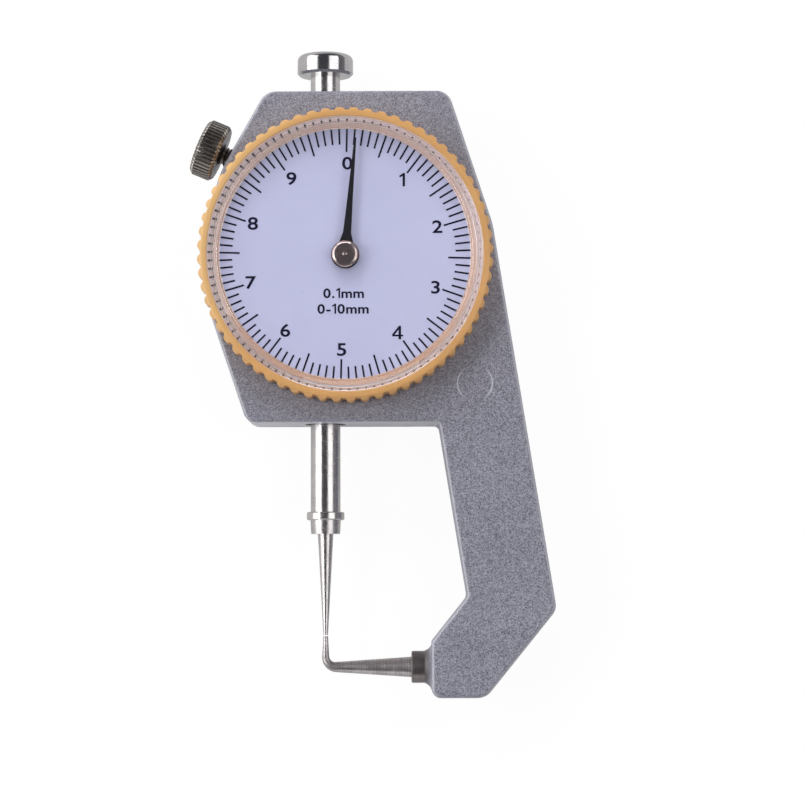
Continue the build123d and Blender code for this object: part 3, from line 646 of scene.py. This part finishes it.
@dataclass(frozen=True)
class TurnedMetal(Finish):
    """Metal turned on a lathe, with fine rings round its axis and patches of duller polish."""

    bright: Colour
    dull: Colour
    gloss: Point = (0.14, 0.26)
    axis: Axis = Axis.OUT_OF_DIAL
    ring_pitch: float = 0.12
    ring_depth: float = 0.003
    streak_heights: Point = (0.35, 0.65)
    streak_gloss: float = 0.05
    patch_size: float = 2.4
    patch_share: float = 0.6
    gloss_share: float = 0.5
    pits: float = 0.05
    pit: Colour = tint(60, 56, 54)
    pit_size: float = 0.35
    pit_cover: float = 0.45
    groove: Point | None = None
    dirt: Colour = tint(44, 38, 34)
    dirt_cover: float = 0.6

    def dress(self, bench: Bench, effects: Effects) -> None:
        """Add the rings, the patches, a few dark pits and a darker brown colour inside a radius from
        the axis, which takes in the grooves.

        Args:
            bench: the material's bench.
            effects: the shared node groups.
        """
        place = bench.place(LAYOUT.placing(self.axis))
        marks = effects.rings(bench, place, self.ring_pitch)
        patches = effects.clouds(bench, place, self.patch_size)
        rough = effects.clouds(bench, place, self.patch_size * self.gloss_share, self.gloss)
        spots = effects.dots(bench, place, self.pit_size, self.pits)
        streaks = bench.span(marks, *self.streak_heights)
        shade = bench.weigh(patches, streaks, self.patch_share)
        colour = bench.blend(shade, self.bright, self.dull)
        colour = bench.blend(bench.times(spots, self.pit_cover), colour, self.pit)
        # darker brown colour inside a radius from the axis
        if self.groove is not None:
            x, y, _ = bench.parts(place)
            dirt = bench.span(bench.reach(x, y), *self.groove, self.dirt_cover, 0.0)
            colour = bench.blend(dirt, colour, self.dirt)
        shader = bench.principled(
            Base_Color=colour,
            Metallic=1.0,
            Roughness=bench.plus(rough, bench.times(streaks, self.streak_gloss)),
            Normal=bench.relief(marks, self.ring_depth),
        )
        bench.show(shader)


@dataclass(frozen=True)
class DialPaint(Finish):
    """Pale satin dial enamel with specks of dust, painted pale and warm under the window's skirt as
    painted light, and darker towards the bottom there as painted shade.
    """

    colour: Colour = tint(190, 192, 223)
    patch: Colour = tint(185, 187, 219)
    patch_size: float = 9.0
    grain_size: float = 0.12
    grain_depth: float = 0.002
    gloss: Point = (0.5, 0.62)
    gloss_size: float = 4.0
    dust: Colour = tint(120, 120, 140)
    dust_size: float = 0.9
    dust_share: float = 0.035
    dust_cover: float = 0.12
    # painted light: the rim under the window's skirt is pale and warm, and painted shade makes it
    # darker towards the bottom
    rim: Colour = tint(246, 226, 228)
    rim_low: Colour = tint(182, 165, 165)
    rim_fall: Point = (-18.0, 10.0)
    rim_radii: Point = (18.82, 18.85)

    def dress(self, bench: Bench, effects: Effects) -> None:
        """Add the faint patches, the dust and the rim's painted light and shade.

        Args:
            bench: the material's bench.
            effects: the shared node groups.
        """
        place = bench.place()
        x, y, _ = bench.parts(place)
        patches = effects.clouds(bench, place, self.patch_size)
        dust = effects.dots(bench, place, self.dust_size, self.dust_share)
        grain = effects.speckle(bench, place, self.grain_size)
        # painted light and shade on the rim under the skirt
        under = bench.span(bench.reach(x, y), *self.rim_radii)
        rim_light_and_shade = bench.blend(bench.span(y, *self.rim_fall), self.rim_low, self.rim)
        colour = bench.blend(patches, self.colour, self.patch)
        colour = bench.blend(bench.times(dust, self.dust_cover), colour, self.dust)
        shader = bench.principled(
            Base_Color=bench.blend(under, colour, rim_light_and_shade),
            Roughness=effects.clouds(bench, place, self.gloss_size, self.gloss),
            Normal=bench.relief(grain["Height"], self.grain_depth),
        )
        bench.show(shader)


@dataclass(frozen=True)
class PrintInk(Finish):
    """Dark printed ink, a little thinner in places."""

    colour: Colour = tint(14, 9, 36)
    thin: Colour = tint(30, 24, 58)
    thin_share: float = 0.6
    grain_size: float = 0.16
    grain_depth: float = 0.002
    grain_heights: Point = (0.3, 0.7)
    gloss: Point = (0.45, 0.6)
    sheen: float = 0.1

    def dress(self, bench: Bench, effects: Effects) -> None:
        """Add the uneven cover of the ink.

        Args:
            bench: the material's bench.
            effects: the shared node groups.
        """
        grain = effects.speckle(bench, bench.place(), self.grain_size)
        cover = bench.times(grain["Mask"], self.thin_share)
        shader = bench.principled(
            Base_Color=bench.blend(cover, self.colour, self.thin),
            Roughness=bench.span(grain["Height"], *self.grain_heights, *self.gloss),
            Specular_IOR_Level=self.sheen,
            Normal=bench.relief(grain["Height"], self.grain_depth),
        )
        bench.show(shader)


@dataclass(frozen=True)
class ClearCrystal(Finish):
    """Clear moulded window with faint wear on its flat front. Light passes it to the dial."""

    colour: Colour = (1.0, 1.0, 1.0, 1.0)
    shadow: Colour = (0.94, 0.94, 0.94, 1.0)
    bending: float = 1.49
    flat_radius: float = 18.4
    wear: Point = (0.0, 0.02)
    wear_size: float = 2.5
    ripple_size: float = 0.8
    ripple_depth: float = 0.0001

    def dress(self, bench: Bench, effects: Effects) -> None:
        """Add the clear shader, with rays that cast shadows let through.

        Args:
            bench: the material's bench.
            effects: the shared node groups.
        """
        place = bench.place()
        x, y, _ = bench.parts(place)
        flat = bench.maths("LESS_THAN", bench.reach(x, y), self.flat_radius)
        wear = effects.clouds(bench, place, self.wear_size, self.wear)
        ripple = effects.speckle(bench, place, self.ripple_size)["Height"]
        clear = bench.principled(
            Base_Color=self.colour,
            Roughness=bench.times(wear, flat),
            IOR=self.bending,
            Transmission_Weight=1.0,
            Normal=bench.relief(bench.times(ripple, flat), self.ripple_depth),
        )
        passing = bench.node("ShaderNodeBsdfTransparent", {"Color": self.shadow})["BSDF"]
        rays = bench.node("ShaderNodeLightPath")
        bench.show(bench.choose(rays["Is Shadow Ray"], clear, passing))


def stand(name: str, data: bpy.types.ID) -> bpy.types.Object:
    """Add an object to the scene, at the origin.

    Args:
        name: its name.
        data: the mesh, curve, camera or lamp that it holds.

    Returns:
        The new object.
    """
    made = bpy.data.objects.new(name, data)
    bpy.context.scene.collection.objects.link(made)
    return made


class Workpiece:
    """A mesh being made in millimetres, which becomes one named piece of the gauge."""

    def __init__(self) -> None:
        """Start with nothing."""
        self.mesh = bmesh.new()

    def weld(self, within: float) -> None:
        """Join the points that lie within a distance of each other."""
        bmesh.ops.remove_doubles(self.mesh, verts=self.mesh.verts, dist=within)

    def move(self, placing: Matrix) -> None:
        """Put the whole workpiece in its place."""
        bmesh.ops.transform(self.mesh, matrix=placing, verts=self.mesh.verts)

    def spin(self, swept: list, steps: int, turns: int = 1, rise: float = 0.0) -> None:
        """Sweep points, edges or faces round Z.

        Args:
            swept: what is swept.
            steps: number of steps in each turn.
            turns: number of turns.
            rise: how far they rise in a turn, where 0 closes the turn.
        """
        bmesh.ops.spin(
            self.mesh,
            geom=swept,
            cent=(0, 0, 0),
            axis=(0, 0, 1),
            dvec=(0, 0, rise / steps),
            angle=2 * math.pi * turns,
            steps=steps * turns,
            use_merge=rise == 0,
            use_duplicate=False,
        )

    def turn(self, profile: Sequence[Point], steps: int) -> None:
        """Turn a closed or axis-to-axis profile round Z.

        Args:
            profile: points as radius and height.
            steps: number of steps in the full turn.
        """
        made = [self.mesh.verts.new((radius, 0, height)) for radius, height in profile]
        edges = [self.mesh.edges.new(pair) for pair in zip(made, made[1:])]
        if profile[0][0] > 0 or profile[-1][0] > 0:
            edges.append(self.mesh.edges.new((made[-1], made[0])))
        self.spin(made + edges, steps)
        self.weld(TURNING_WELD)

    def soften(self, sharper_than: float, width: float, segments: int) -> None:
        """Bevel the edges that turn by more than an angle.

        Args:
            sharper_than: the angle in degrees.
            width: width of the bevel.
            segments: number of steps across it.
        """
        edges = [
            edge
            for edge in self.mesh.edges
            if len(edge.link_faces) == 2 and edge.calc_face_angle(0) > math.radians(sharper_than)
        ]
        bmesh.ops.bevel(
            self.mesh,
            geom=edges,
            offset=width,
            offset_type="OFFSET",
            segments=segments,
            profile=0.5,
            affect="EDGES",
            material=-1,
            clamp_overlap=True,
        )

    def piece(
        self,
        name: str,
        body: str,
        material: Material,
        stands_for: Sequence[str] = (),
        crease: float = 32.0,
    ) -> None:
        """Close the workpiece and hang it on a body of the gauge.

        Args:
            name: the piece's name.
            body: the body that it moves with.
            material: its material.
            stands_for: nodes that it replaces.
            crease: edges that turn by more than this many degrees stay sharp.
        """
        bmesh.ops.scale(self.mesh, vec=(MM, MM, MM), verts=self.mesh.verts)
        bmesh.ops.recalc_face_normals(self.mesh, faces=self.mesh.faces)
        for face in self.mesh.faces:
            face.smooth = True
        sharp = math.radians(crease)
        for edge in self.mesh.edges:
            edge.smooth = len(edge.link_faces) == 2 and edge.calc_face_angle(0) < sharp
        data = bpy.data.meshes.new(name)
        self.mesh.to_mesh(data)
        self.mesh.free()
        data.materials.append(material)
        made = stand(name, data)
        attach(made, body)
        if stands_for:
            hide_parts(*stands_for)
        log.info("%s: %d faces on %s", name, len(data.polygons), body)


def add_bar(mesh: bmesh.types.BMesh, size: Place, placing: Matrix) -> None:
    """Add a straight bar to a mesh, sized along X, Y and Z and then laid by a matrix."""
    bmesh.ops.create_cube(mesh, size=1.0, matrix=placing @ Matrix.Diagonal((*size, 1)))


@dataclass
class DialPrint:
    """Divisions, numerals and the range text printed on the dial.

    A numeral's place is its radius and its turn past its own tenth of the dial. A size is the
    height of the digits and how much wider than high they are drawn. The bars of a drawn digit are
    given by length, width, turn, and the X and Y of the middle, for a digit one unit high.
    """

    divisions: int = 100
    divisions_in_major: int = 5
    zero_turn: float = 1.45
    centre: Point = (-0.22, 0.0)
    outer_radius: float = 19.1
    minor_inner: float = 16.35
    major_inner: float = 15.25
    line_width: float = 0.27
    ink: float = 0.02
    numeral_size: Point = (1.98, 1.24)
    numeral_places: tuple[Point, ...] = (
        (13.6, 2.15), (14.0, 1.45), (14.3, 1.05), (14.2, 1.55), (13.8, 1.55),
        (13.85, 1.45), (13.95, 1.95), (14.2, 1.75), (14.15, 1.55), (13.7, 1.85),
    )
    text_size: Point = (1.5, 1.15)
    text_lines: tuple[tuple[str, Point], ...] = (
        ("0.1mm", (-0.05, -5.55)),
        ("0-10mm", (-0.13, -7.85)),
    )
    letter_gap: float = 0.11
    ink_spread: float = 0.045
    cap_height: float = 0.729
    curve_steps: int = 6
    drawn_depth: float = 0.01
    weld: float = 1e-4
    digit_bars: ClassVar[dict[str, tuple[tuple[float, ...], ...]]] = {
        "1": ((1.0, 0.145, 90, 0.29, 0.5), (0.33, 0.135, 38, 0.165, 0.83)),
        "4": (
            (1.0, 0.15, 90, 0.45, 0.5),
            (0.65, 0.13, 0, 0.325, 0.28),
            (0.8, 0.135, 57.5, 0.245, 0.63),
        ),
    }

    def build(self, ink: Material) -> None:
        """Print the divisions round the dial, and the numerals and the range text, all upright.

        Args:
            ink: the ink's material.
        """
        work = Workpiece()
        self.divide(work)
        self.hang(work, "dial_divisions", ink)
        work = Workpiece()
        step = 360 / len(self.numeral_places)
        for count, (reach, turn) in enumerate(self.numeral_places):
            angle = math.radians(step * count + turn)
            middle = (reach * math.sin(angle), reach * math.cos(angle))
            self.word(work, str(count), self.numeral_size, middle)
        self.hang(work, "dial_numerals", ink)
        work = Workpiece()
        for text, middle in self.text_lines:
            self.word(work, text, self.text_size, middle)
        self.hang(work, "dial_range_text", ink)

    def hang(self, work: Workpiece, name: str, ink: Material) -> None:
        """Centre a print on the dial and hang it on the bezel.

        Args:
            work: the print.
            name: its name.
            ink: the ink's material.
        """
        work.weld(self.weld)
        work.move(Matrix.Translation((*self.centre, 0)))
        work.piece(name, "bezel", ink)

    def divide(self, work: Workpiece) -> None:
        """Draw the divisions round the dial.

        Args:
            work: the workpiece that takes them.
        """
        for count in range(self.divisions):
            major = count % self.divisions_in_major == 0
            inner = self.major_inner if major else self.minor_inner
            turn = -math.radians(self.zero_turn + 360 * count / self.divisions)
            middle = (0, (self.outer_radius + inner) / 2, LAYOUT.dial_front + self.ink / 2)
            placing = Matrix.Rotation(turn, 4, "Z") @ Matrix.Translation(middle)
            size = (self.line_width, self.outer_radius - inner, self.ink)
            add_bar(work.mesh, size, placing)

    def character(self, text: str, height: float) -> bmesh.types.BMesh:
        """Draw one character, made bolder, with digits one unit high.

        Args:
            text: the character.
            height: height of its digits in the print, in millimetres.

        Returns:
            Its mesh, with its left edge at zero and its foot line at Y zero.
        """
        drawn = bmesh.new()
        if text in self.digit_bars:
            for length, width, turn, across, up in self.digit_bars[text]:
                turning = Matrix.Rotation(math.radians(turn), 4, "Z")
                placing = Matrix.Translation((across, up, 0)) @ turning
                add_bar(drawn, (length, width, self.drawn_depth), placing)
            return drawn
        bold = self.ink_spread * self.cap_height / (height - 2 * self.ink_spread)
        curve = bpy.data.curves.new("print", "FONT")
        curve.body = text
        curve.size = 1.0
        curve.extrude = self.drawn_depth / 2
        curve.offset = bold
        curve.resolution_u = self.curve_steps
        holder = stand("print", curve)
        bpy.context.view_layer.update()
        shown = holder.evaluated_get(bpy.context.evaluated_depsgraph_get())
        flat = bpy.data.meshes.new_from_object(shown)
        bpy.data.objects.remove(holder)
        bpy.data.curves.remove(curve)
        drawn.from_mesh(flat)
        bpy.data.meshes.remove(flat)
        scale = 1 / (self.cap_height + 2 * bold)
        bmesh.ops.translate(drawn, vec=(0, bold, 0), verts=drawn.verts)
        bmesh.ops.scale(drawn, vec=(scale, scale, 1), verts=drawn.verts)
        left = min(vert.co.x for vert in drawn.verts)
        bmesh.ops.translate(drawn, vec=(-left, 0, 0), verts=drawn.verts)
        return drawn

    def word(self, work: Workpiece, text: str, size: Point, middle: Point) -> None:
        """Add one word to a print, centred on a point.

        Args:
            work: the workpiece that takes it.
            text: the characters.
            size: height of its digits, and how much wider than high they are drawn.
            middle: X and Y of its middle.
        """
        height, stretch = size
        before = set(work.mesh.verts)
        cursor = 0.0
        for each in text:
            drawn = self.character(each, height)
            bmesh.ops.translate(drawn, vec=(cursor, 0, 0), verts=drawn.verts)
            cursor = max(vert.co.x for vert in drawn.verts) + self.letter_gap
            held = bpy.data.meshes.new("character")
            drawn.to_mesh(held)
            drawn.free()
            work.mesh.from_mesh(held)
            bpy.data.meshes.remove(held)
        added = [vert for vert in work.mesh.verts if vert not in before]
        low, high = (
            Vector([end(vert.co[i] for vert in added) for i in range(3)]) for end in (min, max)
        )
        stretching = (height * stretch, height, self.ink / (high.z - low.z))
        place = (*middle, LAYOUT.dial_front + self.ink / 2)
        bmesh.ops.translate(work.mesh, vec=-(low + high) / 2, verts=added)
        bmesh.ops.scale(work.mesh, vec=stretching, verts=added)
        bmesh.ops.translate(work.mesh, vec=place, verts=added)


@dataclass
class CrystalWindow:
    """Clear window with a flat front, a bevelled edge and a skirt that stands over the dial."""

    radius: float = 20.05
    thickness: float = 1.2
    bevel_width: float = 1.45
    bevel_height: float = 1.2
    wall: float = 1.25
    foot_gap: float = 0.03
    inner_bevel_width: float = 0.5
    inner_bevel_height: float = 1.0
    corner: float = 0.2
    corner_angle: float = 20.0
    corner_steps: int = 3
    steps: int = 240

    def build(self, clear: Material) -> None:
        """Turn the window and soften its corners.

        Args:
            clear: the clear material.
        """
        back = LAYOUT.crystal_back
        front = back + self.thickness
        foot = LAYOUT.dial_front + self.foot_gap
        inner = self.radius - self.wall
        profile = (
            (0, front),
            (self.radius - self.bevel_width, front),
            (self.radius, front - self.bevel_height),
            (self.radius, foot),
            (inner, foot),
            (inner, back - self.inner_bevel_height),
            (inner - self.inner_bevel_width, back),
            (0, back),
        )
        work = Workpiece()
        work.turn(profile, self.steps)
        work.soften(self.corner_angle, self.corner, self.corner_steps)
        work.piece("crystal_window", "bezel", clear, ("crystal",), crease=50)


@dataclass
class HubCap:
    """Round cap of the hand, with a rounded rim and a small centre mark.

    The mark's curve is in shares of its radius and depth, and the rim's in shares of its width and
    drop.
    """

    radius: float = 1.95
    front: float = 15.7
    back: float = 14.752
    flat_radius: float = 1.5
    rim_drop: float = 0.27
    rim_curve: tuple[Point, ...] = (
        (0, 0), (0.25, 0.12), (0.5, 0.35), (0.75, 0.62), (0.92, 0.86), (1, 1),
    )
    mark_radius: float = 0.4
    mark_depth: float = 0.05
    mark_curve: tuple[Point, ...] = ((0, 0.3), (0.35, 0.3), (0.6, 1))
    steps: int = 96

    def build(self, steel: Material) -> None:
        """Turn the cap.

        Args:
            steel: its material.
        """
        rim = self.radius - self.flat_radius
        profile = [
            (self.mark_radius * out, self.front - self.mark_depth * down)
            for out, down in self.mark_curve
        ]
        profile.append((self.mark_radius, self.front))
        profile += [
            (self.flat_radius + rim * out, self.front - self.rim_drop * down)
            for out, down in self.rim_curve
        ]
        profile += [(self.radius, self.back), (0, self.back)]
        work = Workpiece()
        work.turn(profile, self.steps)
        work.piece("hub_cap", "pointer", steel, ("pointer_hub",), crease=30)


@dataclass
class HandEye:
    """Round black eye of the hand, which stands out a little under its cap."""

    radius: float = 2.06
    front: float = 14.751
    back: float = 14.45
    bevel: float = 0.05
    steps: int = 96

    def build(self, black: Material) -> None:
        """Turn the eye.

        Args:
            black: its material.
        """
        profile = (
            (0, self.front),
            (self.radius - self.bevel, self.front),
            (self.radius, self.front - self.bevel),
            (self.radius, self.back),
            (0, self.back),
        )
        work = Workpiece()
        work.turn(profile, self.steps)
        work.piece("hand_eye", "pointer", black, crease=30)


@dataclass
class LockScrew:
    """Clamping screw with a straight-knurled knob, a threaded shank and a round tip.

    Heights are from the knob's middle. The dish's radii are shares of the knob's radius. The neck
    is given in shares of the core's radius and in heights over the knob, and the tip's curve in
    shares of the tip's radius, out from the axis and back from the end.
    """

    knob_radius: float = 4.295
    knob_thickness: float = 3.4
    chamfer: float = 0.45
    dish: float = 0.25
    dish_sag: float = 0.8
    dish_radii: Point = (0.62, 0.7)
    neck: tuple[Point, ...] = ((1.45, 0), (1.3, 0.12), (1, 0.3))
    ridges: int = 44
    ridge_steps: int = 4
    groove_steps: int = 2
    ridge_depth: float = 0.26
    rim_found: float = 1e-3
    core_radius: float = 1.24
    core_start: float = 0.2
    core_bevel: float = 0.1
    core_steps: int = 40
    crest_radius: float = 1.48
    root_depth: float = 0.1
    thread_pitch: float = 0.5
    thread_share: float = 0.8
    thread_turns: int = 6
    thread_steps: int = 28
    thread_start: float = 0.1
    thread_end: float = 5.2
    tip_radius: float = 0.7
    tip_curve: tuple[Point, ...] = ((1, 0.8), (0.8, 0.4), (0.4, 0.08), (0, 0))
    tip_end: float = 7.0

    def knob(self, work: Workpiece) -> None:
        """Turn the knob and cut the grooves between its ridges.

        Args:
            work: the workpiece that takes it.
        """
        half = self.knob_thickness / 2
        rim = self.knob_radius
        flat = rim - self.chamfer
        side = half - self.chamfer
        dish_floor, dish_edge = (rim * share for share in self.dish_radii)
        profile = [
            (0, self.dish - half),
            (dish_floor, self.dish * self.dish_sag - half),
            (dish_edge, -half),
            (flat, -half),
            (rim, -side),
            (rim, side),
            (flat, half),
        ]
        profile += [(self.core_radius * share, half + up) for share, up in self.neck]
        profile.append((0, half + self.neck[-1][1]))
        steps = self.ridge_steps * self.ridges
        work.turn(profile, steps)
        grooves = []
        for vert in work.mesh.verts:
            reach = math.hypot(vert.co.x, vert.co.y)
            count = round(math.atan2(vert.co.y, vert.co.x) / (2 * math.pi / steps))
            if reach > rim - self.rim_found and count % self.ridge_steps < self.groove_steps:
                grooves.append(vert)
        share = (rim - self.ridge_depth) / rim
        bmesh.ops.scale(work.mesh, vec=(share, share, 1), verts=grooves)

    def shank(self, work: Workpiece) -> None:
        """Turn the shank's core and wind the thread round it.

        Args:
            work: the workpiece that takes it.
        """
        start = self.knob_thickness / 2 + self.core_start
        profile = [
            (0, start),
            (self.core_radius, start),
            (self.core_radius, self.thread_end - self.core_bevel),
            (self.tip_radius, self.thread_end),
        ]
        profile += [
            (self.tip_radius * out, self.tip_end - self.tip_radius * down)
            for out, down in self.tip_curve
        ]
        work.turn(profile, self.core_steps)
        foot = start + self.thread_start
        root = self.core_radius - self.root_depth
        width = self.thread_pitch * self.thread_share
        section = ((root, foot), (self.crest_radius, foot + width / 2), (root, foot + width))
        first = work.mesh.faces.new([work.mesh.verts.new((out, 0, up)) for out, up in section])
        work.spin([first], self.thread_steps, self.thread_turns, self.thread_pitch)

    def build(self, nickel: Material) -> None:
        """Make the screw on its own axis and lay it in the case's tapped hole.

        Args:
            nickel: its material.
        """
        work = Workpiece()
        self.knob(work)
        self.shank(work)
        work.move(LAYOUT.placing(Axis.ALONG_LOCK))
        work.piece(
            "lock_screw_knurled", "lock_screw", nickel, ("lock_screw",), crease=25
        )


@dataclass
class Dressing:
    """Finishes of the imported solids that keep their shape."""

    materials: dict[str, Material]
    nodes: dict[str, tuple[str, ...]]

    def apply(self) -> None:
        """Give every node its finish in its own material slot."""
        for finish, nodes in self.nodes.items():
            for node in nodes:
                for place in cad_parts[node].material_slots:
                    place.material = self.materials[finish]
                log.info("%s: finish %s", node, finish)


@dataclass
class Eye:
    """The camera, above the gauge and a little towards its foot.

    Its place is in millimetres, its lean in radians, and its nearest and farthest sight in metres.
    """

    place: Place = (11.467567, -49.981174, 412.0)
    lean: Place = (0.071349, 0.008365, -0.0026)
    lens: float = 122.794
    sensor: float = 36.0
    near: float = 0.01
    far: float = 10.0

    def build(self) -> None:
        """Add the camera and make it the scene's own."""
        data = bpy.data.cameras.new("eye")
        data.lens = self.lens
        data.sensor_width = self.sensor
        data.clip_start = self.near
        data.clip_end = self.far
        made = stand("eye", data)
        made.location = Vector(self.place) * MM
        made.rotation_euler = self.lean
        bpy.context.scene.camera = made


@dataclass
class Lamp:
    """One soft lamp, which leaves its mirror image in polished pieces unless told otherwise."""

    name: str
    place: Place
    size: Point
    power: float
    aim: Place = (0.0, -0.015, 0.0)
    mirrored: bool = True

    def build(self) -> None:
        """Add the lamp, turned to the gauge."""
        data = bpy.data.lights.new(self.name, "AREA")
        data.shape = "RECTANGLE"
        data.size, data.size_y = self.size
        data.energy = self.power
        made = stand(self.name, data)
        made.location = self.place
        towards = Vector(self.aim) - Vector(self.place)
        made.rotation_euler = towards.to_track_quat("-Z", "Y").to_euler()
        made.visible_glossy = self.mirrored


@dataclass
class Studio:
    """The table, the soft lamps and the light of the room."""

    floor_size: float = 4.0
    floor_drop: float = 0.0001
    floor_colour: Colour = (0.9, 0.9, 0.9, 1.0)
    camera_share: float = 0.93
    camera_strength: float = 1.02
    mirror_share: float = 0.6
    mirror_strength: float = 0.6
    room_left: Colour = (0.7, 0.7, 0.7, 1.0)
    room_right: Colour = (0.22, 0.22, 0.23, 1.0)
    room_high: Colour = (0.07, 0.07, 0.08, 1.0)
    room_seen: Colour = (1.0, 1.0, 1.0, 1.0)
    room_sides: Point = (-0.4, 0.4)
    room_heights: Point = (0.2, 0.6)
    lamps: tuple[Lamp, ...] = (
        Lamp("left_lamp", (-0.6, 0.1, 0.42), (0.9, 0.62), 3.3),
        Lamp("spark_lamp", (-0.55, -0.02, 0.62), (0.3, 0.12), 0.8),
        Lamp("right_lamp", (0.5, 0.05, 0.62), (0.8, 0.55), 2.55),
        Lamp("top_lamp", (-0.1, 0.75, 0.5), (0.9, 0.3), 3.3, mirrored=False),
        Lamp("foot_lamp", (0.1, -0.8, 0.25), (0.9, 0.2), 0.75),
    )

    def build(self) -> None:
        """Add the floor, the lamps and the world."""
        self._floor()
        for lamp in self.lamps:
            lamp.build()
        self._world()
        bpy.context.scene.view_settings.view_transform = "Standard"

    def _floor(self) -> None:
        """Lay a plain pale table under the gauge."""
        mesh = bmesh.new()
        bmesh.ops.create_grid(mesh, x_segments=1, y_segments=1, size=self.floor_size / 2)
        bmesh.ops.translate(mesh, vec=(0, 0, -self.floor_drop), verts=mesh.verts)
        data = bpy.data.meshes.new("table")
        mesh.to_mesh(data)
        mesh.free()
        data.materials.append(self._table_white())
        table = stand("table", data)

    def _table_white(self) -> Material:
        """Build the table's white, which takes the gauge's shadow and shows white to the camera.

        Returns:
            The new material.
        """
        made = bpy.data.materials.new("table_white")
        bench = Bench.on(made)
        cloth = bench.node("ShaderNodeBsdfDiffuse", {"Color": self.floor_colour})["BSDF"]
        rays = bench.node("ShaderNodeLightPath")
        mirrored = rays["Is Glossy Ray"]
        seen = bench.maths("MAXIMUM", rays["Is Camera Ray"], rays["Is Transmission Ray"])
        seen = bench.times(seen, self.camera_share)
        share = bench.maths("MAXIMUM", seen, bench.times(mirrored, self.mirror_share))
        strength = bench.span(mirrored, 0, 1, self.camera_strength, self.mirror_strength)
        glow = bench.node("ShaderNodeEmission", {"Strength": strength})["Emission"]
        bench.show(bench.choose(share, cloth, glow))
        return made

    def _world(self) -> None:
        """Light the room, paler low down on the left, and show it white to the camera."""
        world = bpy.data.worlds.new("room")
        bpy.context.scene.world = world
        bench = Bench.on(world)
        x, _, z = bench.parts(bench.node("ShaderNodeTexCoord")["Generated"])
        low = bench.blend(bench.span(x, *self.room_sides), self.room_left, self.room_right)
        room = bench.blend(bench.span(z, *self.room_heights), low, self.room_high)
        seen = bench.node("ShaderNodeLightPath")["Is Camera Ray"]
        colour = bench.blend(seen, room, self.room_seen)
        back = bench.node("ShaderNodeBackground", {"Color": colour})["Background"]
        bench.show(back, "ShaderNodeOutputWorld")


FINISHES: tuple[Finish, ...] = (
    HammerPaint("hammer_paint"),
    HammerPaint("cover_hammer_paint", dark=tint(70, 71, 80), light=tint(172, 173, 186)),
    BezelEnamel(
        "bezel_enamel", colour=tint(222, 169, 107), worn=tint(207, 156, 98), gloss=(0.32, 0.46),
    ),
    Enamel(
        "hand_black", colour=tint(8, 7, 13), worn=tint(18, 16, 24), gloss=(0.5, 0.6),
        patch_size=3.0, sheen=0.2,
    ),
    DialPaint("dial_enamel"),
    PrintInk("dial_ink"),
    ClearCrystal("clear_crystal"),
    TurnedMetal(
        "spindle_polish", bright=tint(214, 210, 208), dull=tint(186, 182, 182),
        axis=Axis.ALONG_SPINDLE,
    ),
    TurnedMetal(
        "contact_ground", bright=tint(216, 212, 211), dull=tint(176, 171, 170), gloss=(0.2, 0.34),
        axis=Axis.ALONG_SPINDLE, ring_pitch=0.09, ring_depth=0.006,
    ),
    TurnedMetal(
        "anvil_ground", bright=tint(214, 208, 208), dull=tint(146, 140, 140), gloss=(0.3, 0.44),
        axis=Axis.ALONG_ANVIL, ring_pitch=0.2, ring_depth=0.016,
    ),
    TurnedMetal(
        "collar_dark", bright=tint(154, 147, 146), dull=tint(112, 105, 106), gloss=(0.32, 0.48),
        axis=Axis.ALONG_ANVIL,
    ),
    TurnedMetal(
        "button_chrome", bright=tint(208, 205, 206), dull=tint(182, 179, 181), gloss=(0.08, 0.16),
        axis=Axis.ALONG_SPINDLE, ring_depth=0.0015, pits=0.02,
    ),
    TurnedMetal(
        "knob_nickel", bright=tint(206, 200, 194), dull=tint(152, 143, 135), gloss=(0.18, 0.3),
        axis=Axis.ALONG_LOCK, pits=0.12, groove=(4.02, 4.2),
    ),
    TurnedMetal(
        "hub_steel", bright=tint(216, 199, 195), dull=tint(177, 160, 157), gloss=(0.1, 0.18),
        ring_pitch=0.07, ring_depth=0.004,
    ),
    TurnedMetal(
        "screw_blue_steel", bright=tint(150, 150, 156), dull=tint(112, 112, 120), ring_pitch=0.15,
    ),
    TurnedMetal(
        "spring_wire", bright=tint(168, 166, 166), dull=tint(120, 118, 120), gloss=(0.25, 0.4),
    ),
    TurnedMetal(
        "clock_brass", bright=tint(226, 192, 122), dull=tint(190, 154, 88), gloss=(0.22, 0.36),
    ),
)

FINISHED_NODES: dict[str, tuple[str, ...]] = {
    "hammer_paint": ("frame",),
    "cover_hammer_paint": ("back_cover",),
    "bezel_enamel": ("bezel_ring",),
    "dial_enamel": ("dial_face",),
    "clear_crystal": ("crystal",),
    "hand_black": ("pointer_hand",),
    "hub_steel": ("pointer_hub",),
    "knob_nickel": ("lock_screw",),
    "button_chrome": ("lifting_button",),
    "spindle_polish": ("spindle_rod", "stop_collar", "pinion_arbor"),
    "contact_ground": ("contact_needle",),
    "anvil_ground": ("anvil_needle",),
    "collar_dark": ("anvil_collar",),
    "spring_wire": ("return_spring", "hairspring", "bezel_snap_ring"),
    "screw_blue_steel": (
        "cover_screws", "bridge_screws", "guide_screws", "spring_post", "guide_pin",
    ),
    "clock_brass": (
        "movement_bridge", "rear_bearing", "front_bearing", "upper_bush", "lower_bush",
        "spindle_guide", "hairspring_stud", "hairspring_collet",
    ),
}


def main() -> None:
    """Build every finish and piece, the studio and the camera."""
    logging.basicConfig(level=logging.INFO, format="%(name)s: %(message)s")
    Eye().build()
    effects = Effects()
    materials = {finish.name: finish.material(effects) for finish in FINISHES}
    Dressing(materials, FINISHED_NODES).apply()
    DialPrint().build(materials["dial_ink"])
    CrystalWindow().build(materials["clear_crystal"])
    HubCap().build(materials["hub_steel"])
    HandEye().build(materials["hand_black"])
    LockScrew().build(materials["knob_nickel"])
    Studio().build()


if __name__ == "__main__":
    main()
